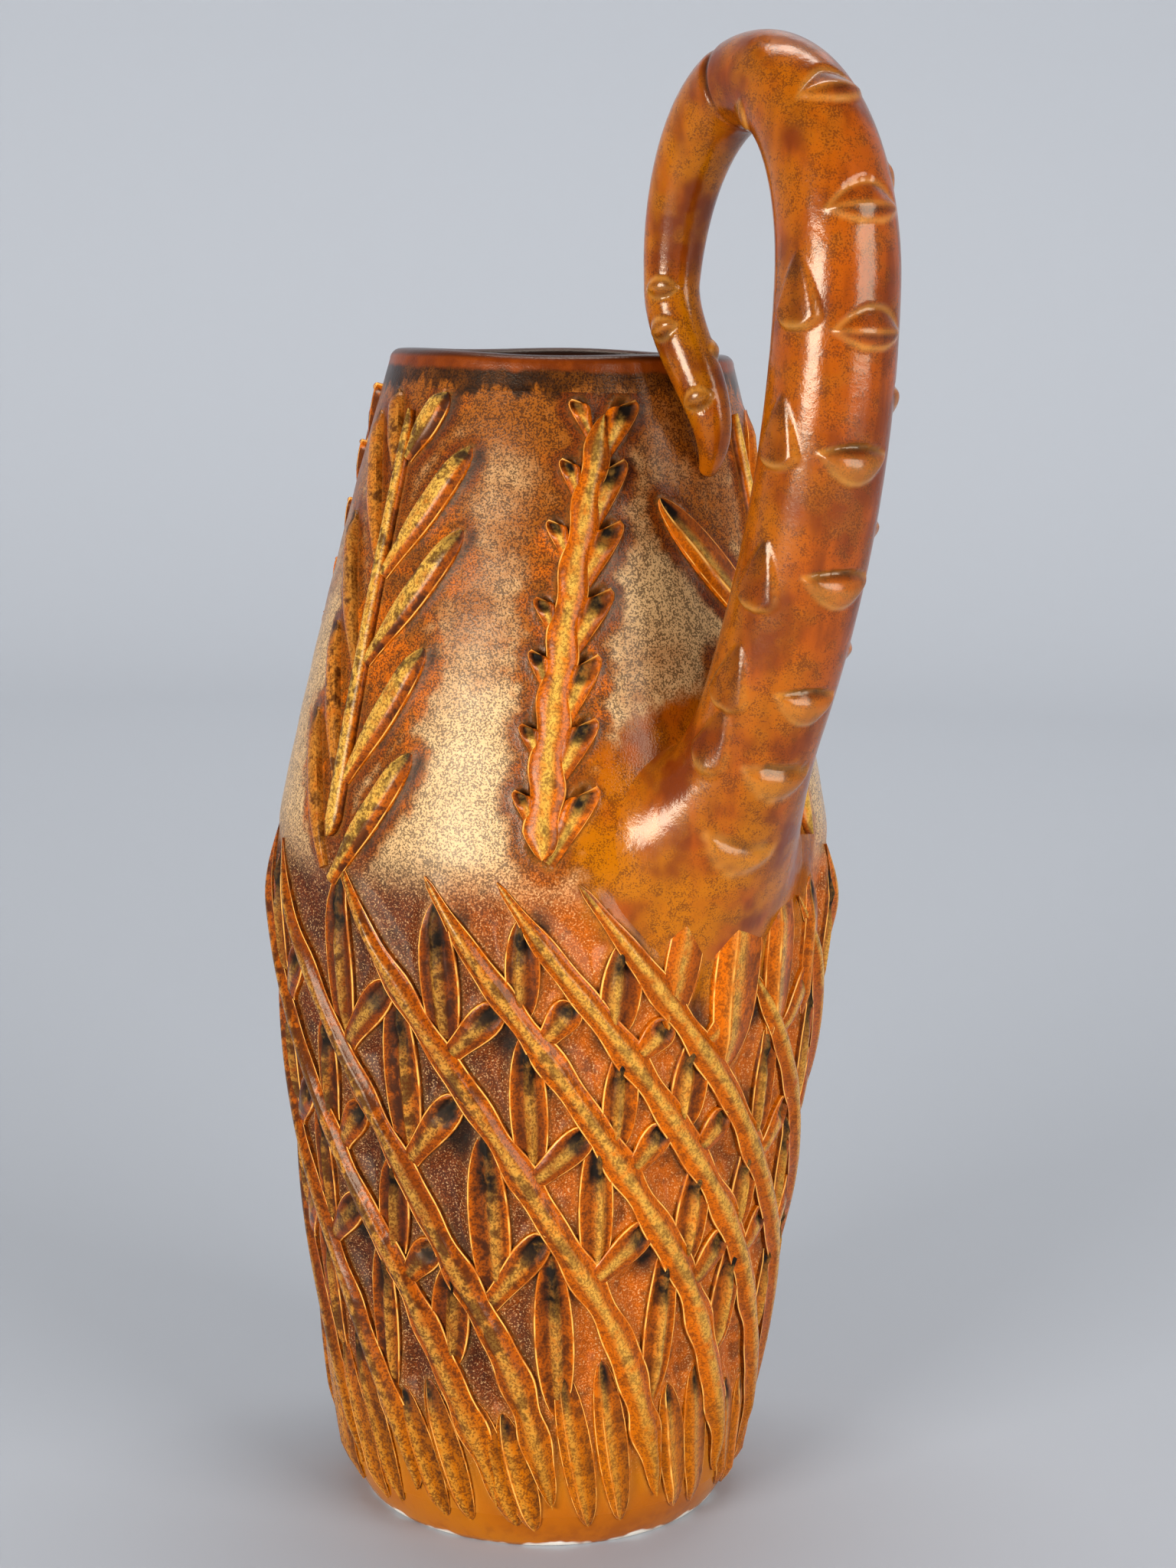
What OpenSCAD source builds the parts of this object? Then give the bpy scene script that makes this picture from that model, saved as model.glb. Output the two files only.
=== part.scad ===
// Leaf-and-branch jug in glazed earthenware, drawn as the clay pieces that it is luted together from.
// Millimetres. The jug stands on the floor at z = 0, its axis is Z and its branch handle lies along +X.
// Leaves, straps and scars are laid out on the unrolled wall as (angle, height) and wrapped round it.

/* [Body] */
// Height of the body, to the top of the lip
body_h = 270; // [260:1:285]
// Radius of the flat underside
base_r = 43; // [40:0.5:45]
// Radius of the lower flank carried straight down to the floor
heel_r = 46; // [45.5:0.5:49]
// Height of the rounded heel
heel_h = 12; // [9:0.5:16]
// Radius at which the two flanks would meet
belly_r = 65.6; // [62:0.2:70]
// Softening of the corner between the two flanks
belly_round = 4; // [2:0.5:8]
// Outward bow of the lower flank
lower_bow = 1; // [0:0.1:2.5]
// Outward bow of the upper flank
upper_bow = 1.2; // [0:0.1:2.5]
// Outer radius of the mouth at the top of the lip
mouth_r = 38.4; // [35:0.2:42]
// Thickness of the wall
wall_t = 5.2; // [4:0.1:7]
// Thickness of the base slab
floor_t = 9; // [6:0.5:11]
// Height of the lip coil
lip_h = 8; // [6:0.5:10]
// Width of the tongue that keys the two sections together
tongue_w = 1.8; // [1:0.1:2.4]
// Height of that tongue
tongue_h = 2; // [1:0.1:4]

/* [Handle] */
// How far the trunk's centreline swings out beyond the widest line
handle_depth = 26.9; // [22:0.1:34]
// Height of the centreline at the top of the crown, above the lip
handle_rise = 56; // [46:1:66]
// Height at which the trunk runs into the crown, above the lip
crown_lift = 15; // [10:1:22]
// Distance of the tendril's centreline outside the lip where it leaves the crown
tendril_gap = 1.1; // [0.5:0.1:4]
// Height of the middle of the root on the wall, above the widest line
root_lift = 11; // [7:1:17]
// Half of the root's width on the wall
root_half_w = 22; // [17:0.5:24]
// Half of the root's height on the wall
root_half_h = 21; // [18:0.5:24]
// Depth below the wall's face at which the trunk's centreline starts
root_sink = 4.5; // [2:0.5:8]
// Radius of the trunk
trunk_r = 13.4; // [12:0.1:14.5]
// Radius where the crown starts
crown_r = 12.6; // [11:0.1:13.5]
// Radius where the tendril starts
tendril_r = 6; // [4.5:0.1:6.5]
// Radius of the tendril's tip
tip_r = 2.2; // [1.5:0.1:3]
// Depth below the lip at which the tip rests on the wall
tip_drop = 24; // [20:1:28]
// Sideways shift of the tip
tip_shift = 6; // [2:0.5:9]
// How strongly the tendril tucks in towards the wall
tuck = 26; // [22:1:34]

/* [Leaf scars] */
// Width of a scar's lip round the trunk, in degrees
scar_turn = 64; // [40:1:75]
// Height of a scar's lip
scar_h = 5; // [3:0.2:7]
// How far a scar's lip stands out of the trunk
scar_rise = 1.5; // [0.8:0.1:2.5]
// Size of a bud on the tendril
bud_h = 4.4; // [3:0.2:6]
// How far a bud stands out of the tendril
bud_rise = 1.3; // [0.8:0.1:2]

/* [Fronds] */
// Height at which the fronds start, above the widest line
frond_lift = 10; // [8:1:17]
// Depth below the lip at which the fronds end
frond_drop = 13; // [11:1:25]
// Width of a feathered frond's rib
rib_w = 3.4; // [2.4:0.2:5]
// Width of a scaly frond's stem
stem_w = 5.4; // [4:0.2:7]
// How far the ribs stand out of the wall
rib_rise = 2; // [1:0.1:3]
// Length of a leaflet
leaflet_l = 31; // [22:1:34]
// Width of a leaflet
leaflet_w = 5; // [3.5:0.1:6.5]
// How far a leaflet stands out of the wall
leaflet_rise = 1.7; // [0.8:0.1:2.5]
// Angle of a leaflet to its rib
leaflet_splay = 30; // [27:1:38]
// Length of a sheath on a scaly frond
sheath_l = 15; // [10:0.5:18]
// Width of a sheath
sheath_w = 5.2; // [3:0.1:5.6]
// Length of a thorn on a scaly frond
thorn_l = 8.5; // [6:0.5:11]
// Width of a thorn
thorn_w = 3.4; // [2:0.1:4]
// Angle of sheaths and thorns to their stem
sheath_splay = 29; // [25:1:36]

/* [Plait] */
// Height of the straps' tips above the widest line
strap_lift = 5; // [0:1:6]
// Height of the straps' lower ends
strap_foot_z = 12; // [8:1:18]
// Turn of a strap round the body on its way down, in degrees
strap_turn = 98; // [85:1:105]
// Width of a strap
strap_w = 6.4; // [4.5:0.1:7.5]
// How far a strap stands out of the wall
strap_rise = 2.3; // [1.2:0.1:3.2]
// Depth of the middle of the first row of upright leaves below the widest line
row_drop = 16; // [13:1:19]
// Height of the middle of the last row above the tops of the foot blades
row_rest = 16.5; // [13:0.5:20]
// Longest length of an upright leaf
upright_l = 30; // [18:0.5:32]
// Width of an upright leaf
upright_w = 7.2; // [5:0.1:8]
// How far an upright leaf stands out of the wall
upright_rise = 1.7; // [0.8:0.1:2.5]
// Length of a cross leaf
cross_l = 13; // [8:0.5:14]
// Width of a cross leaf
cross_w = 6; // [3.5:0.1:6.4]
// How far a cross leaf stands out of the wall
cross_rise = 1.5; // [0.8:0.1:2.5]
// Angle of a cross leaf to the vertical
cross_splay = 38; // [30:1:45]
// Height of the foot blades' lower ends
blade_foot_z = 11; // [8:1:14]
// Length of a foot blade
blade_l = 29; // [18:0.5:31]
// Width of a foot blade
blade_w = 4.8; // [3:0.1:5.4]
// How far a foot blade stands out of the wall
blade_rise = 1.3; // [0.7:0.1:2]

/* [Fit] */
// Layer of slip between an applied piece and what it sits on
lute_gap = 0.2; // [0.15:0.01:0.4]
// Slack of the tongue in its groove
joint_gap = 0.15; // [0.1:0.01:0.3]
// Bare wall kept round the root and the tendril's tip
keep_clear = 2; // [1:0.1:3]

/* [View] */
// Sub-part to draw, or all of them

/* [Hidden] */
$fn = 96;
ring_fn = 24;
profile_steps = 24;
probe = 0.05;
look_step = 2;

// Tips of the straps round the body, in degrees from the handle
strap_tip_angles = [-108, -82, -61, -46.5, -31, -7.4, 16.2, 39.8, 63.4, 86.9,
    110.5, 134.1, 157.7, 181.3, 204.8, 228.4];
// How much of the full turn each strap makes
strap_turn_shares = [0.9, 0.94, 0.97, 1.04, 1.06, 1, 1, 1, 1, 1, 1, 1, 1, 1, 1, 1];
// Feet of the fronds round the body, in degrees from the handle, and how far each one leans
frond_angles = [-85, -38, 26, 83, 147, 211];
frond_leans = [0, 14, 0, 11, 0, 11];

// Shape of a blade along its length: half-widths and heights as shares of its largest
lens_width_shares = [0.7, 1, 0.74];
lens_rise_shares = [0.75, 1, 0.8];
// A stub widens to a blunt end, where the leaf was cut
stub_width_shares = [0.66, 0.86, 1];
stub_rise_shares = [0.6, 0.85, 1];
lens_stops = [0, 0.25, 0.5, 0.75, 1];
stub_stops = [0, 0.3, 0.62, 0.9, 1];
blade_place_shares = [0.34, 0.66];
// Place of a cross leaf between its own row of upright leaves and the next
cross_place_share = 0.4;
// Steps between leaves along a frond, as shares of its height
leaflet_step_share = 0.2446;
sheath_step_share = 0.1478;
rib_taper_share = 0.55;
leaf_curl_share = 0.22;
hand_share = 0.09;
strap_ease_share = 0.15;
strap_point_share = 0.16;
strap_heel_share = 0.14;
strap_waist_share = 0.86;
strap_swell_share = 0.3;

// Height of the widest line, where the two thrown sections meet, as a share of the body's height
belly_height_share = 0.5741;

// Places along the handle: 0 to 1 is the trunk, 1 to 2 the crown, 2 to 3 the tendril
root_bend_share = 0.165;
root_end_share = 0.26;
joint_share = 1.6;
crown_taper_share = 1.3;
tip_seat_share = 0.72;
outer_scar_shares = [0.31, 0.5, 0.7, 0.9, 1.08, 1.26];
near_scar_shares = [0.32, 0.5, 0.74, 0.97];
far_scar_shares = [0.41, 0.62, 0.84, 1.17];
bud_shares = [2.03, 2.24, 2.42, 2.56];
outer_scar_angle = -15;
near_scar_angle = -92;
far_scar_angle = 78;
bud_angles = [-54, -66, 122, -40];
bud_turn = 60;

straps = len(strap_tip_angles);
fronds = len(frond_angles);
leaflets = 4;
sheaths = 8;
upright_rows = 4;
cross_rows = 3;

belly_z = body_h * belly_height_share;
lip_z = body_h - lip_h;
strap_top_z = belly_z + strap_lift;
strap_span = strap_top_z - strap_foot_z;
row_top_z = belly_z - row_drop;
row_pitch = (row_top_z - blade_foot_z - blade_l - row_rest) / (upright_rows - 1);
frond_base_z = belly_z + frond_lift;
frond_top_z = body_h - frond_drop;
leaflet_pitch = (frond_top_z - frond_base_z) * leaflet_step_share;
sheath_pitch = (frond_top_z - frond_base_z) * sheath_step_share;
handle_reach = belly_r + handle_depth;
handle_top_z = body_h + handle_rise;
crown_z = body_h + crown_lift;
crown_half = (handle_reach - mouth_r - tendril_gap) / 2;
crown_x = handle_reach - crown_half;
crown_rise = handle_top_z - crown_z;
root_z = belly_z + root_lift;
tip_z = body_h - tip_drop;
trunk_lean = handle_reach - outer_r(root_z) + root_sink;
tip_angle = asin(tip_shift / outer_r(tip_z));
tip_centre = wall_point(tip_angle, tip_z, tip_r * tip_seat_share + lute_gap);

glaze = [0.42, 0.22, 0.07];
dark_glaze = [0.24, 0.1, 0.04];
gold_glaze = [0.62, 0.38, 0.1];
bark_glaze = [0.36, 0.15, 0.06];
clay = [0.85, 0.78, 0.66];

// The wall's outline

function soft_min(a, b, k) = let (h = max(k - abs(a - b), 0)) min(a, b) - h * h / (4 * k);

function lower_flank(z) =
    let (t = z / belly_z)
    heel_r + (belly_r - heel_r) * t + 4 * lower_bow * t * (1 - t);

function upper_flank(z) =
    let (t = (z - belly_z) / (body_h - belly_z))
    belly_r + (mouth_r - belly_r) * t + 4 * upper_bow * t * (1 - t);

function heel_cut(z) = (heel_r - base_r) * pow(max(1 - z / heel_h, 0), 2);

function outer_r(z) = soft_min(lower_flank(z), upper_flank(z), belly_round) - heel_cut(z);

function inner_r(z) = outer_r(z) - wall_t;

function heights(low, high) = [for (i = [0:profile_steps]) low + (high - low) * i / profile_steps];

function reversed(list) = [for (i = [len(list) - 1:-1:0]) list[i]];

// Places on the unrolled wall

function wall_slope(z) = (outer_r(z + probe) - outer_r(z - probe)) / (2 * probe);

function wall_point(angle, z, lift) =
    let (m = wall_slope(z), k = sqrt(1 + m * m), r = outer_r(z) + lift / k)
    [r * cos(angle), r * sin(angle), z - lift * m / k];

function turn_of(arc, z) = arc / outer_r(z) * 180 / PI;

function arc_of(turn, z) = turn * PI / 180 * outer_r(z);

function near_zero(turn) = turn - 360 * round(turn / 360);

function wobble(i) = sin(137.5 * i);

// A place is free when it keeps clear of the handle's root and of the tendril's tip
function is_free(angle, z, margin) =
    let (
        arc = arc_of(near_zero(angle), z),
        root = pow(arc / (root_half_w + margin), 2) + pow((z - root_z) / (root_half_h + margin), 2),
        tip = norm([arc - arc_of(tip_angle, z), z - tip_z]))
    root > 1 && tip > tendril_r + margin;

function all_free(spine, margin) =
    len([for (p = spine) if (!is_free(p[0], p[1], margin)) 1]) == 0;

// Solids with a point at each end and rings of equal length between them

module spindle(first, rings, last) {
    n = len(rings[0]);
    m = len(rings);
    points = concat([first], [for (ring = rings) each ring], [last]);
    faces = concat(
        [for (j = [0:n - 1]) [0, 1 + j, 1 + (j + 1) % n]],
        [for (i = [0:m - 2], j = [0:n - 1])
            let (a = 1 + i * n + j, b = 1 + i * n + (j + 1) % n)
            each [[a, a + n, b], [b, a + n, b + n]]],
        [for (j = [0:n - 1]) [1 + m * n, 1 + (m - 1) * n + (j + 1) % n, 1 + (m - 1) * n + j]]);
    polyhedron(points = points, faces = faces);
}

function side_place(spine, i, offset) =
    let (
        p = spine[i],
        d = spine[i + 1] - spine[i - 1],
        run = [arc_of(d[0], p[1]), d[1]],
        side = [-run[1], run[0]] / norm(run) * offset,
        z = p[1] + side[1])
    [p[0] + turn_of(side[0], z), z];

// A ridged blade on the wall, from the first place of its spine to the last
module blade(spine, half_ws, rises) {
    ends = len(spine) - 1;
    rings = [for (i = [1:ends - 1])
        let (
            left = side_place(spine, i, half_ws[i - 1]),
            right = side_place(spine, i, -half_ws[i - 1]))
        [
            wall_point(left[0], left[1], lute_gap),
            wall_point(spine[i][0], spine[i][1], lute_gap + rises[i - 1]),
            wall_point(right[0], right[1], lute_gap)
        ]];
    spindle(
        wall_point(spine[0][0], spine[0][1], lute_gap),
        rings,
        wall_point(spine[ends][0], spine[ends][1], lute_gap));
}

module lens(spine, width, rise) {
    blade(spine, lens_width_shares * width / 2, lens_rise_shares * rise);
}

module stub(spine, width, rise) {
    blade(spine, stub_width_shares * width / 2, stub_rise_shares * rise);
}

// A leaf's spine climbs from its foot, leaning by splay and curling back towards the vertical
function leaf_spine(angle, z, side, length, splay, stops) =
    [for (t = stops)
        let (
            high = z + length * t * cos(splay),
            out = side * length * t * sin(splay) * (1 + leaf_curl_share * (1 - t)))
        [angle + turn_of(out, high), high]];

function mid_spine(angle, z, length, splay, stops) =
    let (
        low = z - length / 2 * cos(splay),
        left = angle - turn_of(length / 2 * sin(splay), z))
    [for (t = stops)
        [left + turn_of(length * t * sin(splay), z), low + length * t * cos(splay)]];

// Body

module base_slab() {
    color(clay)
    rotate_extrude()
    polygon(concat(
        [[0, 0]],
        [for (z = heights(0, floor_t)) [outer_r(z), z]],
        [[0, floor_t]]));
}

module lower_wall() {
    middle = outer_r(belly_z) - wall_t / 2;
    color(dark_glaze)
    rotate_extrude()
    polygon(concat(
        [for (z = heights(floor_t, belly_z)) [outer_r(z), z]],
        [
            [middle + tongue_w / 2, belly_z],
            [middle + tongue_w / 2, belly_z + tongue_h],
            [middle - tongue_w / 2, belly_z + tongue_h],
            [middle - tongue_w / 2, belly_z]
        ],
        reversed([for (z = heights(floor_t, belly_z)) [inner_r(z), z]])));
}

module upper_wall() {
    middle = outer_r(belly_z) - wall_t / 2;
    groove = tongue_w / 2 + joint_gap;
    color(glaze)
    rotate_extrude()
    polygon(concat(
        [for (z = heights(belly_z, lip_z)) [outer_r(z), z]],
        reversed([for (z = heights(belly_z, lip_z)) [inner_r(z), z]]),
        [
            [middle - groove, belly_z],
            [middle - groove, belly_z + tongue_h + joint_gap],
            [middle + groove, belly_z + tongue_h + joint_gap],
            [middle + groove, belly_z]
        ]));
}

module lip_coil() {
    crest_z = body_h - wall_t / 2;
    crest_r = outer_r(crest_z) - wall_t / 2;
    color(bark_glaze)
    rotate_extrude()
    polygon(concat(
        [[inner_r(lip_z), lip_z], [outer_r(lip_z), lip_z]],
        [for (a = [0:15:180]) [crest_r + wall_t / 2 * cos(a), crest_z + wall_t / 2 * sin(a)]]));
}

// Handle

function trunk_point(t) =
    [handle_reach - trunk_lean * pow(1 - t, 2), 0, root_z + (crown_z - root_z) * t];

function crown_point(t) =
    [crown_x + crown_half * cos(180 * t), 0, crown_z + crown_rise * sin(180 * t)];

function tendril_point(t) =
    let (
        drop = crown_z - tip_z,
        start = crown_point(1))
    (2 * t * t * t - 3 * t * t + 1) * start
    + (t * t * t - 2 * t * t + t) * [0, 0, -drop]
    + (3 * t * t - 2 * t * t * t) * tip_centre
    + (t * t * t - t * t) * [-tuck, tip_shift, -drop];

function path_point(s) =
    s <= 1 ? trunk_point(s) : s <= 2 ? crown_point(s - 1) : tendril_point(s - 2);

function path_r(s) =
    s <= 1 ? trunk_r + (crown_r - trunk_r) * s * s :
    s <= 2 ? crown_r + (tendril_r - crown_r) * pow(s - 1, crown_taper_share) :
    tendril_r + (tip_r - tendril_r) * pow(s - 2, 3);

function path_step(s) =
    let (e = 1 / 1000, a = max(s - e, 0), b = min(s + e, 3))
    (path_point(b) - path_point(a)) / (b - a);

// A place on the branch: angle 0 faces out of the loop and 90 faces +Y
function branch_point(s, angle, lift) =
    let (
        along = path_step(s) / norm(path_step(s)),
        y = [0, 1, 0] - along[1] * along,
        side = y / norm(y),
        out = cross(side, along))
    path_point(s) + (path_r(s) + lift) * (out * cos(angle) + side * sin(angle));

function branch_ring(s) = [for (j = [0:ring_fn - 1]) branch_point(s, 360 * j / ring_fn, 0)];

module branch(from, to, steps) {
    stops = [for (i = [0:steps]) from + (to - from) * i / steps];
    spindle(path_point(from), [for (s = stops) branch_ring(s)], path_point(to));
}

// The root's seat is an oval on the wall, and angle 0 is its lowest place
function seat_ring(share) =
    [for (j = [0:ring_fn - 1])
        let (a = 360 * j / ring_fn, z = root_z - share * root_half_h * cos(a))
        wall_point(turn_of(share * root_half_w * sin(a), z), z, lute_gap)];

module handle_root() {
    seat = seat_ring(1);
    bend = branch_ring(root_bend_share);
    end = branch_ring(root_end_share);
    color(bark_glaze)
    spindle(
        wall_point(0, root_z, lute_gap),
        concat(
            [for (i = [1:4]) seat_ring(i / 4)],
            [for (i = [1:8])
                let (t = i / 8)
                (1 - t) * (1 - t) * seat + 2 * t * (1 - t) * bend + t * t * end]),
        path_point(root_end_share));
}

module handle_trunk() {
    color(bark_glaze)
    branch(root_end_share, joint_share, 26);
}

module handle_tendril() {
    color(bark_glaze)
    branch(joint_share, 3, 24);
}

// A raised lip across the branch, pointed at both ends
module branch_lip(s, angle, turn, height, rise) {
    per_mm = 1 / norm(path_step(s));
    rings = [for (i = [1:5])
        let (
            x = i / 3 - 1,
            full = 1 - x * x,
            a = angle + turn / 2 * x,
            half = height / 2 * full * per_mm,
            mid = s - height / 2 * full * per_mm)
        [
            branch_point(mid + half, a, lute_gap),
            branch_point(mid, a, lute_gap + rise * full),
            branch_point(mid - half, a, lute_gap)
        ]];
    spindle(
        branch_point(s, angle - turn / 2, lute_gap),
        rings,
        branch_point(s, angle + turn / 2, lute_gap));
}

module scar_lips(shares, angle) {
    color(gold_glaze)
    for (i = [0:len(shares) - 1])
        branch_lip(shares[i], angle + 5 * wobble(i), scar_turn, scar_h, scar_rise);
}

module tendril_buds() {
    color(gold_glaze)
    for (i = [0:len(bud_shares) - 1])
        branch_lip(bud_shares[i], bud_angles[i], bud_turn, bud_h, bud_rise);
}

// Fronds: odd ones are feathered, even ones are scaly

function is_feathered(k) = k % 2 == 1;

function rib_angle(k, z) =
    frond_angles[k - 1]
    + frond_leans[k - 1] * pow((z - frond_base_z) / (frond_top_z - frond_base_z), 2);

function rib_width(k) = is_feathered(k) ? rib_w : stem_w;

module frond_rib(k) {
    stops = heights(frond_base_z, frond_top_z);
    picks = [0, 1, 4, 7, 10, 13, 16, 19, 22, 24];
    spine = [for (i = picks) [rib_angle(k, stops[i]), stops[i]]];
    inner = len(picks) - 2;
    shares = [for (i = [1:inner]) 1 - (1 - rib_taper_share) * i / inner];
    color(gold_glaze)
    blade(spine, shares * rib_width(k) / 2, shares * rib_rise);
}

// One leaf on a rib, drawn only where the wall is free
module rib_leaf(k, z, side, length, width, splay) {
    fit = min(length, (frond_top_z - z) / cos(splay));
    foot = rib_angle(k, z) + side * turn_of((rib_width(k) + width) / 2, z);
    spine = leaf_spine(foot, z, side, fit, splay, is_feathered(k) ? lens_stops : stub_stops);
    if (all_free(spine, width / 2 + keep_clear)) {
        if (is_feathered(k)) lens(spine, width, leaflet_rise);
        else stub(spine, width, leaflet_rise);
    }
}

module frond_leaflets(k) {
    color(gold_glaze)
    if (is_feathered(k)) {
        for (i = [0:leaflets - 1], side = [-1, 1])
            rib_leaf(
                k,
                frond_base_z + leaflet_pitch * (i + hand_share * wobble(i + 3 * side + k)),
                side,
                leaflet_l,
                leaflet_w,
                leaflet_splay);
    } else {
        for (i = [0:sheaths - 2])
            rib_leaf(k, frond_base_z + sheath_pitch * i, 1, sheath_l, sheath_w, sheath_splay);
        for (i = [0:sheaths - 2])
            rib_leaf(k, frond_base_z + sheath_pitch * (i + 1 / 2), -1, thorn_l, thorn_w, sheath_splay);
    }
}

// Plait

function strap_angle(k, z) =
    let (
        t = (strap_top_z - z) / strap_span,
        turn = strap_turn * strap_turn_shares[(k - 1) % straps])
    strap_tip_angles[(k - 1) % straps] + turn * (t - strap_ease_share * pow(t, 5))
    + 360 * floor((k - 1) / straps);

function strap_rate(k, z) = (strap_angle(k, z - probe) - strap_angle(k, z + probe)) / (2 * probe);

// A strap that would start under the handle's root starts below it instead
function strap_start(k, z) =
    is_free(strap_angle(k, z), z, strap_w / 2 + keep_clear) ? z : strap_start(k, z - look_step);

function strap_width(t) =
    strap_w * (strap_waist_share + strap_swell_share * t)
    * min(1, sqrt(t / strap_point_share))
    * min(1, sqrt((1 - t) / strap_heel_share));

module plait_strap(k) {
    top = strap_start(k, strap_top_z);
    steps = 20;
    spine = [for (i = [0:steps])
        let (z = top + (strap_foot_z - top) * i / steps)
        [strap_angle(k, z), z]];
    half_ws = [for (i = [1:steps - 1]) strap_width(i / steps) / 2];
    rises = [for (w = half_ws) strap_rise * min(1, 2 * w / strap_w)];
    color(gold_glaze)
    blade(spine, half_ws, rises);
}

function gap_angle(k, share, z) =
    strap_angle(k, z) + share * (strap_angle(k + 1, z) - strap_angle(k, z));

function gap_arc(k, z) = arc_of(strap_angle(k + 1, z) - strap_angle(k, z), z);

// Height of bare wall between the two straps of a gap, measured straight up
function gap_height(k, z) =
    let (rate = strap_rate(k, z), slant = sqrt(1 + pow(arc_of(rate, z), -2)))
    (strap_angle(k + 1, z) - strap_angle(k, z)) / rate - strap_w * slant;

module gap_lens(k, share, z, length, width, rise) {
    spine = mid_spine(gap_angle(k, share, z), z, length, 0, lens_stops);
    if (all_free(spine, width / 2 + keep_clear)) lens(spine, width, rise);
}

// A blade that runs along the gap from its foot
module gap_blade(k, share, low, length, width, rise) {
    spine = [for (t = lens_stops)
        let (z = low + length * t)
        [gap_angle(k, share, z), z]];
    lens(spine, width, rise);
}

module gap_stub(k, z, length, width, rise, splay) {
    spine = mid_spine(gap_angle(k, 1 / 2, z), z, length, splay, stub_stops);
    if (all_free(spine, width / 2 + keep_clear)) stub(spine, width, rise);
}

module plait_uprights(j) {
    color(dark_glaze)
    for (k = [1:straps]) {
        z = row_top_z - row_pitch * (j - 1 + hand_share * wobble(k + 7 * j));
        gap_lens(k, 1 / 2, z, min(upright_l, gap_height(k, z)), upright_w, upright_rise);
    }
}

module plait_crosses(j) {
    color(glaze)
    for (k = [1:straps]) {
        z = row_top_z - row_pitch * (j - 1 + cross_place_share + hand_share * wobble(k + 7 * j));
        gap_stub(k, z, cross_l, cross_w, cross_rise, cross_splay);
    }
}

module foot_blades() {
    color(gold_glaze)
    for (k = [1:straps]) {
        middle = blade_foot_z + blade_l / 2;
        room = gap_arc(k, middle) * (blade_place_shares[1] - blade_place_shares[0]);
        places = room > blade_w + keep_clear / 2 ? blade_place_shares : [1 / 2];
        for (share = places) gap_blade(k, share, blade_foot_z, blade_l, blade_w, blade_rise);
    }
}

base_slab();
lower_wall();
upper_wall();
lip_coil();
handle_root();
handle_trunk();
handle_tendril();
scar_lips(outer_scar_shares, outer_scar_angle);  // outer_scar_lips
scar_lips(near_scar_shares, near_scar_angle);  // near_scar_lips
scar_lips(far_scar_shares, far_scar_angle);  // far_scar_lips
tendril_buds();
for (k = [1:fronds]) {
    frond_rib(k);
    frond_leaflets(k);
}
for (k = [1:straps]) plait_strap(k);
for (j = [1:upright_rows]) plait_uprights(j);
for (j = [1:cross_rows]) plait_crosses(j);
foot_blades();
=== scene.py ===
# %% [markdown]
# # A leaf-and-branch jug in brown glazed earthenware
# The real jug is thrown in two sections, and a potter adds leaves, plaited straps and a branch for a
# handle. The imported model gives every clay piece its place. This lesson keeps those places and gives each
# piece its hand-made shape and its amber glaze. Lengths on the jug are in millimetres, as a potter would say
# them, and they turn into metres only where a mesh is written. The studio round it is in metres.

# %% The frame
import math
from functools import partial
from itertools import product

import bmesh
import bpy
import numpy as np
from mathutils import Matrix, Vector


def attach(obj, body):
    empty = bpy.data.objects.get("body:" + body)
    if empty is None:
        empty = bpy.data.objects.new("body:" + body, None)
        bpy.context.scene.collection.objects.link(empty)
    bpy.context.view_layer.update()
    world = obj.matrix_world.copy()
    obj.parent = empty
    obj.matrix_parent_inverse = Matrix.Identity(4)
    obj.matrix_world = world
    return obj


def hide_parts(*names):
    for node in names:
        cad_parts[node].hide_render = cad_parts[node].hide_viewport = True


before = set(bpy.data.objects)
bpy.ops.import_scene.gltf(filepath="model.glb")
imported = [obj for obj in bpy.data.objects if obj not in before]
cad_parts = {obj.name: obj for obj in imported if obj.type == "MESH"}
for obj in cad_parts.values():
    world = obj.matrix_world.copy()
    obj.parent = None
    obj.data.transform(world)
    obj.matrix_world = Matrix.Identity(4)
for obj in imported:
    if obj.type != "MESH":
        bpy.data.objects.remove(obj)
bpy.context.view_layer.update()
MM = 0.001
scene = bpy.context.scene


def shown(name, data):
    """A new object in the scene that holds this data."""
    made = bpy.data.objects.new(name, data)
    scene.collection.objects.link(made)
    return made


def keep(mesh, label, values):
    """Writes one number for each point of a mesh."""
    mesh.attributes.new(label, "FLOAT", "POINT").data.foreach_set("value", values)


print("nodes in the frame:", len(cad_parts))

# %% [markdown]
# ## One way to write sums
# The wall's outline is needed three times: to build the wall, to wrap the leaves round it and to colour it.
# Numbers, arrays and node sockets could each have their own version. Here one small class lets Python's
# signs act on a socket, so the same formula works for all three.

# %% Sums on sockets
class Wire:
    """One socket of a node tree. Python's signs on it add Math nodes."""

    def __init__(self, tree, socket=None):
        self.tree = tree
        self.socket = socket

    def node(self, kind, settings=None, sockets=None, out=0):
        """Adds any node: first its settings, then a value or a link for each socket."""
        made = self.tree.nodes.new(kind)
        for name, value in (settings or {}).items():
            setattr(made, name, value)
        for name, value in (sockets or {}).items():
            if isinstance(value, Wire):
                self.tree.links.new(value.socket, made.inputs[name])
            else:
                made.inputs[name].default_value = value
        return Wire(self.tree, made.outputs[out] if made.outputs else None)

    def math(self, operation, *values):
        return self.node("ShaderNodeMath", {"operation": operation}, dict(enumerate(values)))

    def __abs__(self):
        return self.math("ABSOLUTE", self)


def give_sign(sign, operation):
    """Lets one of Python's signs act on a wire, with the wire on either side of it."""
    setattr(Wire, f"__{sign}__", lambda wire, other: wire.math(operation, wire, other))
    setattr(Wire, f"__r{sign}__", lambda wire, other: wire.math(operation, other, wire))


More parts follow.
